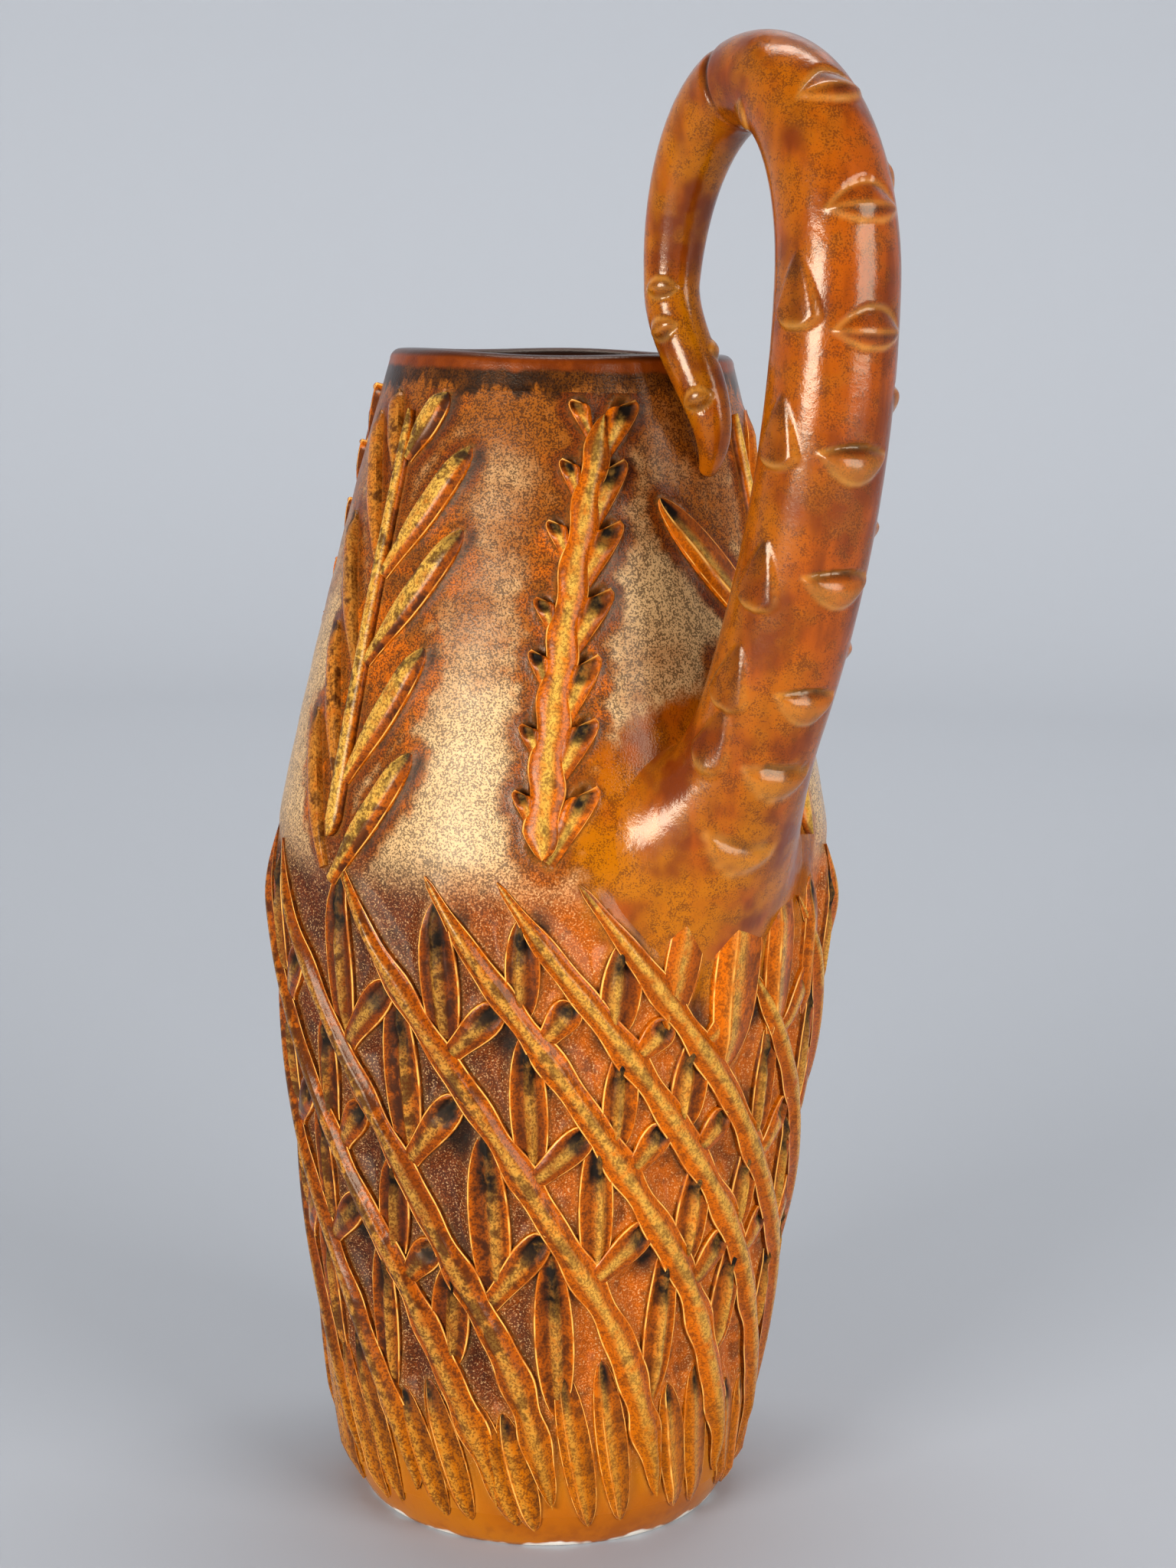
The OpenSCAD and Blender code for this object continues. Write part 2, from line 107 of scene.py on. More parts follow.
SIGNS = {"add": "ADD", "sub": "SUBTRACT", "mul": "MULTIPLY", "truediv": "DIVIDE", "pow": "POWER"}
for python_sign, node_sign in SIGNS.items():
    give_sign(python_sign, node_sign)


def either(operation, plain, *values):
    """A Math node where a value is a wire, and plain arithmetic where none is."""
    for value in values:
        if isinstance(value, Wire):
            return value.math(operation, *values)
    return plain(*values)


larger = partial(either, "MAXIMUM", np.maximum)
smaller = partial(either, "MINIMUM", np.minimum)
sine = partial(either, "SINE", np.sin)
cosine = partial(either, "COSINE", np.cos)
root = partial(either, "SQRT", np.sqrt)


def ramp(a, low, high):
    """0 below low, 1 above high, and a soft step between them."""
    t = smaller(larger((a - low) / (high - low), 0.0), 1.0)
    return t * t * (3 - 2 * t)


def bump(a, middle, width):
    """1 in the middle, fading to 0 at a distance of width on both sides."""
    return 1 - ramp(abs(a - middle), 0.0, width)


print("3 as a step from 2 to 4:", ramp(3.0, 2.0, 4.0))

# %% [markdown]
# ## The wall's outline
# The body is two bowed cones, softened where they meet, with a small rounded heel. A place on the wall is
# an angle and a height, and a lift carries it outwards along the wall's normal. The sizes are the part's
# own.

# %% Wall sizes and places
BODY_H, BASE_R, HEEL_R, HEEL_H = 270.0, 43.0, 46.0, 12.0
BELLY_Z, BELLY_R, BELLY_ROUND = 155.0, 65.6, 4.0
LOWER_BOW, UPPER_BOW, MOUTH_R = 1.0, 1.2, 38.4
WALL_T, FLOOR_T, LIP_H = 5.2, 9.0, 8.0
LIP_Z = BODY_H - LIP_H
RAD = math.pi / 180
PROBE = 0.5


def wall_r(z):
    """Outer radius of the wall at height z."""
    low = z / BELLY_Z
    high = (z - BELLY_Z) / (BODY_H - BELLY_Z)
    lower = HEEL_R + (BELLY_R - HEEL_R) * low + 4 * LOWER_BOW * low * (1 - low)
    upper = BELLY_R + (MOUTH_R - BELLY_R) * high + 4 * UPPER_BOW * high * (1 - high)
    soft = larger(BELLY_ROUND - abs(lower - upper), 0.0)
    heel = larger(1 - z / HEEL_H, 0.0)
    return smaller(lower, upper) - soft * soft / (4 * BELLY_ROUND) - (HEEL_R - BASE_R) * heel * heel


def wall_place(angle, z, lift):
    """Place at an angle in degrees, a height and a lift off the wall, as x, y and z."""
    slope = (wall_r(z + PROBE) - wall_r(z - PROBE)) / (2 * PROBE)
    reach = root(1 + slope * slope)
    r = wall_r(z) + lift / reach
    return r * cosine(angle * RAD), r * sine(angle * RAD), z - lift * slope / reach


def turn_of(arc, z):
    """Turn in degrees of an arc round the wall at height z."""
    return arc / wall_r(z) / RAD


def arc_of(angle, z):
    """Arc round the wall from the line through the middle of the handle."""
    return ((angle + 180) % 360 - 180) * RAD * wall_r(z)


print("radius at the belly:", round(float(wall_r(BELLY_Z)), 2))

# %% [markdown]
# ## Camera
# The photograph looks at the jug from about a hand above the shoulder, a little down, with the handle to
# the right. The camera's turns are written as an ordinary right, up and forward frame, so that it can be
# read.

# %% Camera
CAMERA_TURN = 54 * RAD
CAMERA_AWAY, CAMERA_UP = 603.4, 278.3
PITCH, ROLL, YAW = 10.16 * RAD, 1.2 * RAD, 0.75 * RAD
LENS = 60.1


def camera_axes():
    right = Vector((math.cos(YAW), -math.sin(YAW), 0))
    ahead = Vector((math.cos(PITCH) * math.sin(YAW), math.cos(PITCH) * math.cos(YAW), -math.sin(PITCH)))
    up = right.cross(ahead)
    turned_right = math.cos(ROLL) * right + math.sin(ROLL) * up
    turned_up = math.cos(ROLL) * up - math.sin(ROLL) * right
    return Matrix((turned_right, turned_up, -ahead)).transposed()


turn = Matrix.Rotation(CAMERA_TURN, 3, "Z")
camera = shown("camera", bpy.data.cameras.new("camera"))
camera.data.lens = LENS
camera.data.sensor_width = 36
spot = turn @ (Vector((0, -CAMERA_AWAY, CAMERA_UP)) * MM)
camera.matrix_world = Matrix.Translation(spot) @ (turn @ camera_axes()).to_4x4()
scene.camera = camera
print("camera at", [round(x, 3) for x in spot])

# %% [markdown]
# ## Studio
# The jug stands on a plain pale floor that bends up into a backdrop all round. Two large soft lamps stand
# left and right of the camera and draw the long streaks on the glossy branch. A weak one hangs behind the
# jug, and one lamp of its own lights the backdrop, so that the backdrop's brightness takes no light from
# the jug.

# %% Studio floor and lamps
SWEEP_FLAT, SWEEP_BEND, SWEEP_TOP = 1.3, 0.6, 2.4
BACKDROP_AWAY, BACKDROP_MIDDLE = 2.2, 0.9
JUG_MIDDLE = (0, 0, 0.17)


def plain(name, colour, roughness):
    material = bpy.data.materials.new(name)
    material.use_nodes = True
    shader = material.node_tree.nodes["Principled BSDF"]
    shader.inputs["Base Color"].default_value = colour
    shader.inputs["Roughness"].default_value = roughness
    return material


def rgb(red, green, blue):
    """A colour written as on a screen, 0 to 255, made linear."""
    share = np.array([red, green, blue]) / 255
    linear = np.where(share <= 0.04045, share / 12.92, ((share + 0.055) / 1.055) ** 2.4)
    return (*[float(x) for x in linear], 1.0)


def sweep(columns=96, steps=12):
    """A round floor that bends up into a wall all round."""
    bend = [90 * RAD * i / steps for i in range(steps + 1)]
    profile = [(SWEEP_FLAT + SWEEP_BEND * math.sin(a), SWEEP_BEND * (1 - math.cos(a))) for a in bend]
    profile += [(SWEEP_FLAT + SWEEP_BEND, SWEEP_TOP)]
    places = [(0, 0, 0)]
    for r, z in profile:
        for c in range(columns):
            a = 2 * math.pi * c / columns
            places.append((r * math.cos(a), r * math.sin(a), z))
    faces = [(0, 1 + c, 1 + (c + 1) % columns) for c in range(columns)]
    for i in range(len(profile) - 1):
        for c in range(columns):
            a, b = 1 + i * columns + c, 1 + i * columns + (c + 1) % columns
            faces.append((a, a + columns, b + columns, b))
    mesh = bpy.data.meshes.new("sweep")
    mesh.from_pydata(places, [], faces)
    mesh.shade_smooth()
    return shown("sweep", mesh)


def lamp(name, turn_off_camera, height, away, wide, tall, power, aim_at=JUG_MIDDLE):
    """A soft lamp. Its turn is measured round from the camera, in degrees; lengths are in metres."""
    data = bpy.data.lights.new(name, "AREA")
    data.shape = "RECTANGLE"
    data.size, data.size_y = wide, tall
    data.energy = power
    made = shown(name, data)
    a = CAMERA_TURN - math.pi / 2 + turn_off_camera * RAD
    made.location = (away * math.cos(a), away * math.sin(a), height)
    aim = Vector(aim_at) - made.location
    made.rotation_euler = aim.to_track_quat("-Z", "Y").to_euler()


floor = sweep()
floor.data.materials.append(plain("pale_sweep", rgb(172, 175, 180), 0.8))
behind = CAMERA_TURN + math.pi / 2
lamp("key_lamp", -38, 0.32, 1.25, 0.52, 0.46, 18.0)
lamp("fill_lamp", 47, 0.5, 1.3, 0.75, 0.85, 16.0)
lamp("top_lamp", 150, 1.5, 0.9, 1.2, 1.2, 2.5)
lamp("backdrop_lamp", 180, 2.2, 0.5, 1.6, 0.6, 42.0,
     aim_at=(BACKDROP_AWAY * math.cos(behind), BACKDROP_AWAY * math.sin(behind), BACKDROP_MIDDLE))
world = bpy.data.worlds.new("studio")
world.use_nodes = True
sky = world.node_tree.nodes["Background"].inputs
sky["Color"].default_value = rgb(226, 230, 235)
sky["Strength"].default_value = 0.12
scene.world = world
scene.view_settings.view_transform = "Standard"

# %% [markdown]
# ## The glaze
# A brown lead glaze is one coat with many colours. It is thin and bright orange where it breaks over an
# edge, dark where it pools in a pocket, olive gold on a crest that faces up, and it is peppered with fine
# dark specks. Painted shade is laid in with the pooled glaze, under edges, tucked ends and leaflets and in
# the branch's scars and crease, and painted highlights lighten the scars and the leaflets' upper sides. A
# painted texture could hold all this, but it would not follow a change of shape. So every mesh carries a few
# numbers for each point: one for the rim, which on the branch also carries the painted highlights, one for
# pooled glaze and painted shade, and one for the crest. The shader mixes the colours by them.

# %% Colour helpers for the glaze
AMBER, RUST, BROWN = rgb(198, 94, 2), rgb(112, 44, 6), rgb(146, 78, 16)
GOLD, UMBER = rgb(213, 161, 66), rgb(78, 32, 8)
EDGE, DARK = rgb(255, 184, 84), rgb(13, 6, 4)
PURPLE, TAN = rgb(38, 16, 9), rgb(210, 167, 112)
FOOT_GOLD, BARK, LIP_BROWN = rgb(178, 102, 0), rgb(154, 68, 5), rgb(96, 36, 4)
CLAY, GLINT = rgb(236, 229, 216), rgb(255, 236, 208)


def places_mm(start):
    """The object's own coordinates, in millimetres."""
    where = start.node("ShaderNodeTexCoord", out="Object")
    return start.node("ShaderNodeVectorMath", {"operation": "SCALE"}, {0: where, "Scale": 1 / MM})


def noise(where, size, detail=2.0, stretch=(1, 1, 1)):
    """Cloudy noise with patches of about this size."""
    share = [1 / (size * s) for s in stretch]
    scaled = where.node("ShaderNodeVectorMath", {"operation": "MULTIPLY"}, {0: where, 1: share})
    return where.node("ShaderNodeTexNoise", {"noise_dimensions": "3D"},
                      {"Vector": scaled, "Scale": 1.0, "Detail": detail, "Roughness": 0.55})


def mix(share, first, second):
    """A colour between first and second."""
    return share.node("ShaderNodeMix", {"data_type": "RGBA", "clamp_factor": True},
                      {0: share, 6: first, 7: second}, out=2)


def mark(start, name):
    """A number that the mesh carries for each point."""
    return start.node("ShaderNodeAttribute", {"attribute_name": name}, out="Fac")


def coats(body, *layers):
    """Lays colours over a body, one after the other: each layer is a share and a colour."""
    for share, colour in layers:
        body = mix(share, body, colour)
    return body


def parts_of(where):
    """x, y and z of a place."""
    return [where.node("ShaderNodeSeparateXYZ", sockets={0: where}, out=i) for i in range(3)]


def towards_handle(x, y):
    """0 on the left of the jug, as the camera sees it, and 1 under the handle."""
    return ramp(x * 0.8 + y * 0.6, -10.0, 45.0)


def finish_glaze(colour, roughness, gloss, relief, depth):
    """The glassy coat: colour and gloss, with fine relief in its normal."""
    normal = colour.node("ShaderNodeBump",
                         sockets={"Strength": 1.0, "Distance": depth * MM, "Height": relief})
    shader = colour.node("ShaderNodeBsdfPrincipled", sockets={
        "Base Color": colour, "Roughness": roughness, "Specular IOR Level": gloss, "Specular Tint": GLINT,
        "Normal": normal})
    colour.node("ShaderNodeOutputMaterial", sockets={"Surface": shader})


def new_glaze(name):
    material = bpy.data.materials.new(name)
    material.use_nodes = True
    material.node_tree.nodes.clear()
    return material, Wire(material.node_tree)


print("dark glaze in linear light:", [round(x, 4) for x in DARK[:3]])

# %% [markdown]
# ## Glaze on the leaves and straps
# All applied pieces share one recipe: rust on the flanks, gold on the crest, orange on the rim, and
# near-black in the pocket, from pooled glaze and from painted shade under edges and tucked ends. The straps
# and the fronds only differ in how much gold they show, so a function makes each one.

# %% Relief glazes
def relief_glaze(name, gold, warm, rough):
    """Glaze for an applied piece: gold is the crest's share of gold, and warm moves rust to amber."""
    material, start = new_glaze(name)
    where = places_mm(start)
    x, y, z = parts_of(where)
    cloud = noise(where, 26.0)
    mottle = noise(where, 3.2, 3.0)
    grain = noise(where, 0.55)
    clump = noise(where, 1.6)
    patch = noise(where, 7.0)
    speck = ramp(grain + (clump - 0.5) * 0.4, 0.46, 0.58)
    rim, pool, crest, tone = (mark(start, n) for n in ("rim", "pool", "crest", "tone"))
    handle_side = towards_handle(x, y)
    low = 1 - ramp(z, 18.0, 52.0)
    far = (1 - handle_side) * (1 - low) * (1 - ramp(z, 150.0, 165.0))
    heat = warm + (cloud - 0.5) * 1.6 + tone * 0.2 + handle_side * 0.45 - far * 0.12
    heat = smaller(larger(heat, 0.0), 1.0)
    # On the leaflets the crest's gold also paints a highlight on the upper side, where the light falls.
    shine = crest * gold * ramp(mottle + cloud * 0.4, 0.35, 0.75) * (1 - far * 0.3)
    blot = ramp(mottle + (cloud - 0.5) * 0.9 + far * 0.05 + low * (0.5 - cloud) * 0.8, 0.5, 0.68)
    peppered = speck * (1.0 - gold * 0.4 - handle_side * 0.2)
    broken = 0.15 + ramp(patch + (mottle - 0.5) * 0.6, 0.36, 0.6)
    body = coats(mix(heat, RUST, AMBER),
                 (shine, GOLD),
                 (low * 0.6, FOOT_GOLD),
                 (blot * (0.8 - handle_side * 0.4) * (1 - low * 0.5), PURPLE),
                 (smaller(rim * 1.6, 1.0) * 0.5, AMBER),
                 (peppered * (1 - ramp(rim, 0.5, 0.9)), UMBER),
                 # Pooled glaze and painted shade turn pockets, tucked ends, edges and the leaflets' lower
                 # sides near-black.
                 (pool * (0.6 + ramp(mottle, 0.3, 0.6) * 0.4), DARK),
                 (ramp(rim, 0.5, 1.0) * broken, EDGE))
    roughness = rough + mottle * 0.1 + pool * 0.4
    finish_glaze(body, roughness, 0.2, grain * 0.14 + mottle, 0.16)
    return material


strap_glaze = relief_glaze("strap_glaze", 0.85, 0.4, 0.17)
leaf_glaze = relief_glaze("leaf_glaze", 0.8, 0.3, 0.17)
frond_glaze = relief_glaze("frond_glaze", 1.0, 0.55, 0.2)
print("relief glazes:", [glaze.name for glaze in (strap_glaze, leaf_glaze, frond_glaze)])

# %% [markdown]
# ## Where the leaves and straps go
# The potter lays the plait out by eye and by rule: sixteen straps slant round the body, and upright and
# cross leaves fill each gap row by row, each a little off its mark. A table of points with numbers for
# turn, height, tilt and size says the same thing, and any leaf that would run into the handle's root is
# left out.

# %% Layout values
STRAP_TOP, STRAP_FOOT, STRAP_TURN, STRAP_W, STRAP_RISE = 160.0, 12.0, 98.0, 6.8, 2.6
STRAP_SPAN, STRAP_EASE = STRAP_TOP - STRAP_FOOT, 0.15
TIP_TURNS = [-108, -82, -61, -46.5, -31, -7.4, 16.2, 39.8, 63.4, 86.9,
             110.5, 134.1, 157.7, 181.3, 204.8, 228.4]
TURN_SHARES = [0.9, 0.94, 0.97, 1.04, 1.06] + [1] * 11
ROW_TOP, ROW_PITCH, HAND, CROSS_PLACE = 139.0, 27.5, 0.09, 0.4
UPRIGHT_ROWS, CROSS_ROWS = 4, 3
UPRIGHT_L, UPRIGHT_W, UPRIGHT_RISE, TUCK_UNDER = 30.0, 8.7, 2.1, 5.5
CROSS_SHARE, CROSS_TUCK, CROSS_W, CROSS_RISE, CROSS_TILT = 0.68, 4, 7.8, 1.8, 40.0
BLADE_Z, BLADE_L, BLADE_W, BLADE_RISE, BLADE_SHARES = 4.6, 37, 7.6, 1.8, (0.34, 0.66)
ROOT_Z, ROOT_HALF_W, ROOT_HALF_H = 166.0, 22.0, 21.0
TIP_Z, TIP_SHIFT, TIP_CLEAR = 246.0, 6.0, 6
KEEP_CLEAR, LEAF_CLEAR, UPRIGHT_CLEAR, CROSS_CLEAR = 2.0, 3, 5.3, 5
FROND_LOW, FROND_TOP, FROND_ROOM = 165.0, 257.0, 3
RIB_W, STEM_W, RIB_RISE, LEAF_RISE, LEAF_CURL = 5.0, 8.0, 2.1, 1.9, 0.22
SLIM, BROAD, SCALY = (0, 4), (2,), (1, 3, 5)
FROND_TURNS, FROND_LEANS = [-85, -38, 26, 83, 147, 211], [0, 14, 0, 11, 0, 11]


def wobble(i):
    """The slip of a hand: a number from -1 to 1 that looks random and never changes."""
    return math.sin(137.5 * RAD * i)


def strap_angle(k, z):
    """Turn of strap k, counted round and round, at height z."""
    t = (STRAP_TOP - z) / STRAP_SPAN
    lap, i = divmod(k, len(TIP_TURNS))
    return TIP_TURNS[i] + 360 * lap + STRAP_TURN * TURN_SHARES[i] * (t - STRAP_EASE * t ** 5)


def is_free(angle, z, margin):
    """True where the wall is clear of the handle's root and of the tendril's tip."""
    arc = arc_of(angle, z)
    on_root = (arc / (ROOT_HALF_W + margin)) ** 2 + ((z - ROOT_Z) / (ROOT_HALF_H + margin)) ** 2
    off_tip = math.hypot(arc - TIP_SHIFT, z - TIP_Z)
    return on_root > 1 and off_tip > TIP_CLEAR + margin


def row(turn, height, tilt, length, width, rise, curl=0.0, sweep_turn=0.0, tone=0.0):
    """One applied piece, as the numbers that its point carries."""
    return dict(turn=turn, height=height, tilt=tilt, length=length, width=width, rise=rise,
                curl=curl, sweep=sweep_turn, tone=tone)


print("straps:", len(TIP_TURNS), "fronds:", len(FROND_TURNS))

# %% Tables of straps and plaited leaves
def strap_rows():
    """Straps, each cut short where it would meet the handle's root."""
    rows = []
    for k, tip in enumerate(TIP_TURNS):
        top = STRAP_TOP
        while not is_free(strap_angle(k, top), top, STRAP_W / 2 + KEEP_CLEAR):
            top -= 2
        rows.append(row(tip, top, 0, top - STRAP_FOOT, STRAP_W, STRAP_RISE,
                        sweep_turn=STRAP_TURN * TURN_SHARES[k], tone=wobble(3 * k)))
    return rows


def gap_turn(k, share, z):
    """Turn of a place between strap k and the next one."""
    return strap_angle(k, z) + share * (strap_angle(k + 1, z) - strap_angle(k, z))


def gap_height(k, z):
    """Height of bare wall between two straps, straight up."""
    rate = (strap_angle(k, z - PROBE) - strap_angle(k, z + PROBE)) / (2 * PROBE)
    slant = math.sqrt(1 + (rate * RAD * wall_r(z)) ** -2)
    return (strap_angle(k + 1, z) - strap_angle(k, z)) / rate - STRAP_W * slant


def row_z(j, k, place=0.0):
    """Height of the leaf in row j and gap k; place moves it down by a share of the pitch."""
    return ROW_TOP - ROW_PITCH * (j + place + HAND * wobble(k + 1 + 7 * (j + 1)))


def upright_rows():
    """Leaves that stand between two straps, with both ends under them."""
    rows = []
    for j, k in product(range(UPRIGHT_ROWS), range(len(TIP_TURNS))):
        z = row_z(j, k)
        bare = min(UPRIGHT_L, gap_height(k, z))
        angle = gap_turn(k, 0.5, z)
        if is_free(angle, z + bare / 2, UPRIGHT_CLEAR) and is_free(angle, z, UPRIGHT_CLEAR):
            length = bare + 2 * TUCK_UNDER
            width = UPRIGHT_W + 0.9 * wobble(k + 3 * j)
            tilt = 4 * wobble(2 * k + 5 * j)
            foot = angle - turn_of(length / 2 * math.sin(tilt * RAD), z)
            tone = wobble(5 * k + 3 * j)
            rows.append(row(foot, z - length / 2, tilt, length, width, UPRIGHT_RISE, tone=tone))
    return rows


def cross_rows():
    """Leaves that lie across a gap, between the rows of upright ones."""
    rows = []
    for j, k in product(range(CROSS_ROWS), range(len(TIP_TURNS))):
        z = row_z(j, k, CROSS_PLACE)
        angle, tilt = gap_turn(k, 0.5, z), CROSS_TILT + 5 * wobble(k + 5 * j)
        length = CROSS_SHARE * min(UPRIGHT_L, gap_height(k, z)) + CROSS_TUCK
        if is_free(angle, z + 6, CROSS_CLEAR):
            foot = angle - turn_of(length / 2 * math.sin(tilt * RAD), z)
            low = z - length / 2 * math.cos(tilt * RAD)
            rows.append(row(foot, low, tilt, length - 1.5, CROSS_W, CROSS_RISE, tone=wobble(4 * k + 11 * j)))
    return rows


def blade_rows():
    """Two blades in each gap, standing on the foot."""
    rows = []
    for k, share in product(range(len(TIP_TURNS)), BLADE_SHARES):
        z = BLADE_Z + 2.4 * wobble(3 * k + share)
        length = BLADE_L + 6 * wobble(2 * k + 9 * share)
        lean = (gap_turn(k, share, z + length) - gap_turn(k, share, z)) * RAD * wall_r(z + length / 2)
        tilt = math.degrees(math.atan2(lean, length)) + 4 * wobble(5 * k + share)
        tone = wobble(7 * k + 4 * share)
        rows.append(row(gap_turn(k, share, z), z, tilt, length, BLADE_W, BLADE_RISE, tone=tone))
    return rows


def flute_rows():
    """Broad leaves that hang from the handle's root."""
    return [row(3, 116, 0, 44, 14, 3.0, tone=0.2), row(-12, 127, 8, 32, 9, 2.4, tone=-0.4),
            row(17, 119, -5, 40, 11, 2.6, tone=0.5), row(31, 122, -9, 34, 9, 2.2, tone=-0.2)]


straps, uprights, crosses, blades = strap_rows(), upright_rows(), cross_rows(), blade_rows()
flutes = flute_rows()
print("straps, uprights, crosses, blades:", len(straps), len(uprights), len(crosses), len(blades))

# %% Tables of the fronds
def rib_turn(k, z):
    """Turn of rib k at height z: it leans more the higher it gets."""
    return FROND_TURNS[k] + FROND_LEANS[k] * ((z - FROND_LOW) / (FROND_TOP - FROND_LOW)) ** 2


def rib_rows(fronds, width):
    """One rib for each frond."""
    return [row(FROND_TURNS[k], FROND_LOW, 0, FROND_TOP - FROND_LOW, width, RIB_RISE,
                sweep_turn=FROND_LEANS[k], tone=wobble(k)) for k in fronds]


def leaf_rows(fronds, pitch, count, sides):
    """Leaves up both sides of a rib; sides gives side, start, inset, length, width and splay of each."""
    rows = []
    for k, leaf, i in product(fronds, sides, range(count)):
        side, start, inset, length, width, splay = leaf
        z = FROND_LOW + pitch * (i + start + HAND * wobble(i + 3 * side + k + 1))
        room = (FROND_TOP + FROND_ROOM - z) / math.cos(splay * RAD)
        fit = min(length, room) * (1 + 0.08 * wobble(4 * i + k))
        foot = rib_turn(k, z) + turn_of(side * inset, z)
        far = z + fit * math.cos(splay * RAD)
        out = foot + turn_of(side * fit * math.sin(splay * RAD), far)
        spots = (foot, z), (out, far), ((foot + out) / 2, (z + far) / 2)
        if all(is_free(turn, height, LEAF_CLEAR) for turn, height in spots):
            tilt = side * (splay + 3 * wobble(7 * i + k))
            rows.append(row(foot, z, tilt, fit, width, LEAF_RISE, LEAF_CURL, tone=wobble(9 * i + k)))
    return rows


feather_ribs, scaly_stems = rib_rows(sorted(SLIM + BROAD), RIB_W), rib_rows(SCALY, STEM_W)
leaflets = leaf_rows(SLIM, 22.5, 5, [(-1, -0.4, 1.6, 36.0, 5.0, 24.0), (1, -0.4, 1.6, 34.0, 5.8, 30.0)])
broad_leaves = leaf_rows(BROAD, 29.0, 3, [(-1, 0.37, 1.2, 40.0, 9.0, 38.0), (1, 0.37, 1.2, 32.0, 8.0, 28.0)])
sheaths = leaf_rows(SCALY, 13.6, 7, [(1, 0, 1.2, 16.0, 6.4, 25.0)])
thorns = leaf_rows(SCALY, 13.6, 7, [(-1, 0.5, 1.7, 8.0, 4.2, 20.0)])
print("leaflets, broad leaves, sheaths, thorns:", len(leaflets), len(broad_leaves), len(sheaths), len(thorns))

# %% [markdown]
# ## Shape of a leaf, a stub and a strap
# Each piece starts as the same flat blank and differs in four things: the path of its spine, its outline,
# its section, and where glaze pools on it and painted shade darkens it. Each is a short formula in t, from 0
# at the foot to 1 at the tip, and in x, from -1 to 1 across. A sculpted mesh for each would look as good, but
# it could not follow a change.

# %% Spines
def leaf_path(at, t):
    """Turn, height and direction of a leaf's spine: it leans by tilt and curls back to the vertical."""
    out = at("length") * sine(at("tilt") * RAD)
    up = at("length") * cosine(at("tilt") * RAD)
    z = at("height") + up * t
    arc = out * t * (1 + at("curl") * (1 - t))
    return at("turn") + turn_of(arc, z), z, out * (1 + at("curl") * (1 - 2 * t)), up


def strap_path(at, t):
    """A strap slants down from its tip and eases off towards the foot."""
    z = at("height") - at("length") * t
    s = (STRAP_TOP - z) / STRAP_SPAN
    rate = at("sweep") * (1 - 5 * STRAP_EASE * s ** 4) * RAD / STRAP_SPAN
    slip = 0.6 * sine(t * 19 + at("tone") * 9) * t
    angle = at("turn") + slip + at("sweep") * (s - STRAP_EASE * s ** 5)
    return angle, z, wall_r(z) * rate * at("length"), 0 - at("length")


def rib_path(at, t):
    """A rib climbs straight, and leans more and more."""
    z = at("height") + at("length") * t
    return at("turn") + at("sweep") * t * t, z, wall_r(z) * at("sweep") * t * 2 * RAD, at("length")


print("spines:", [path.__name__ for path in (leaf_path, strap_path, rib_path)])

# %% Outlines
def round_ends(t, foot, tip):
    """1 along a piece, rounded off to 0 over a share of its length at each end."""
    return smaller(root(t / foot), 1.0) * smaller(root((1 - t) / tip), 1.0)


def lens_outline(x, t, at):
    return larger((4 * t * (1 - t)) ** 0.52, 0.03)


def rod_outline(x, t, at):
    return (0.5 + 0.5 * ramp(t, 0.0, 0.5)) * larger(1 - t ** 9, 0.04) ** 0.6


def stub_outline(x, t, at):
    return (0.5 + 0.5 * ramp(t, 0.0, 0.9)) * larger(1 - t ** 26, 0.25) ** 0.5


def cross_outline(x, t, at):
    return (0.6 + 0.4 * ramp(t, 0.1, 0.75)) * larger(1 - t ** 10, 0.05) ** 0.5


def strap_outline(x, t, at):
    hand = 1 + 0.1 * sine(t * 43 + at("tone") * 9) + 0.08 * sine(t * 71 + 2)
    return larger((0.86 + 0.3 * t) * round_ends(t, 0.16, 0.14) * hand, 0.04)


def rib_outline(x, t, at):
    return larger((1 - 0.4 * t) * round_ends(t, 0.04, 0.06), 0.05)


def stem_outline(x, t, at):
    """Wider and narrower in turn, as the stubs leave the stem."""
    jag = 1 + 0.16 * sine(t * 42.5 + x * 1.2)
    return larger((1 - 0.3 * t) * jag * round_ends(t, 0.06, 0.08), 0.05)


print("width share of a leaf at its middle:", round(float(lens_outline(0, 0.5, None)), 2))

# %% Sections
MIDRIB_SWAY, FOLD_AT = 0.22, -0.45


def low_side(x, at):
    """x counted from a leaf's upper side to its lower side, whichever way it leans."""
    return x * at("tilt") / larger(abs(at("tilt")), 0.01)


def under_straps(t):
    """Both ends dive under the straps."""
    return larger(ramp(t, 0.0, 0.26) - ramp(t, 0.76, 1.0), 0.0)


def leaf_section(x, t, at):
    """A midrib, a channel on each side of it and a raised edge."""
    ridge = bump(x - MIDRIB_SWAY * at("tone"), 0.0, 0.4)
    edge = ramp(abs(x), 0.55, 0.9) * (1 - 0.5 * ramp(abs(x), 0.93, 1.0))
    dimple = 0.45 * bump(t, 0.7, 0.12) * (1 - ramp(abs(x), 0.3, 0.7))
    return (0.2 + 0.8 * ridge + 0.3 * edge) * under_straps(t) - dimple


def fold_section(x, t, at):
    """A blade with a sharp fold left of its middle, where both slopes meet."""
    fold = smaller((x + 1.05) / (1.05 + FOLD_AT), (1.15 - x) / (1.15 - FOLD_AT))
    ends = smaller(ramp(t, 0.0, 0.2), 1 - ramp(t, 0.7, 1.0))
    return (0.2 + 0.8 * larger(fold, 0.0)) * (0.25 + 0.75 * ends)


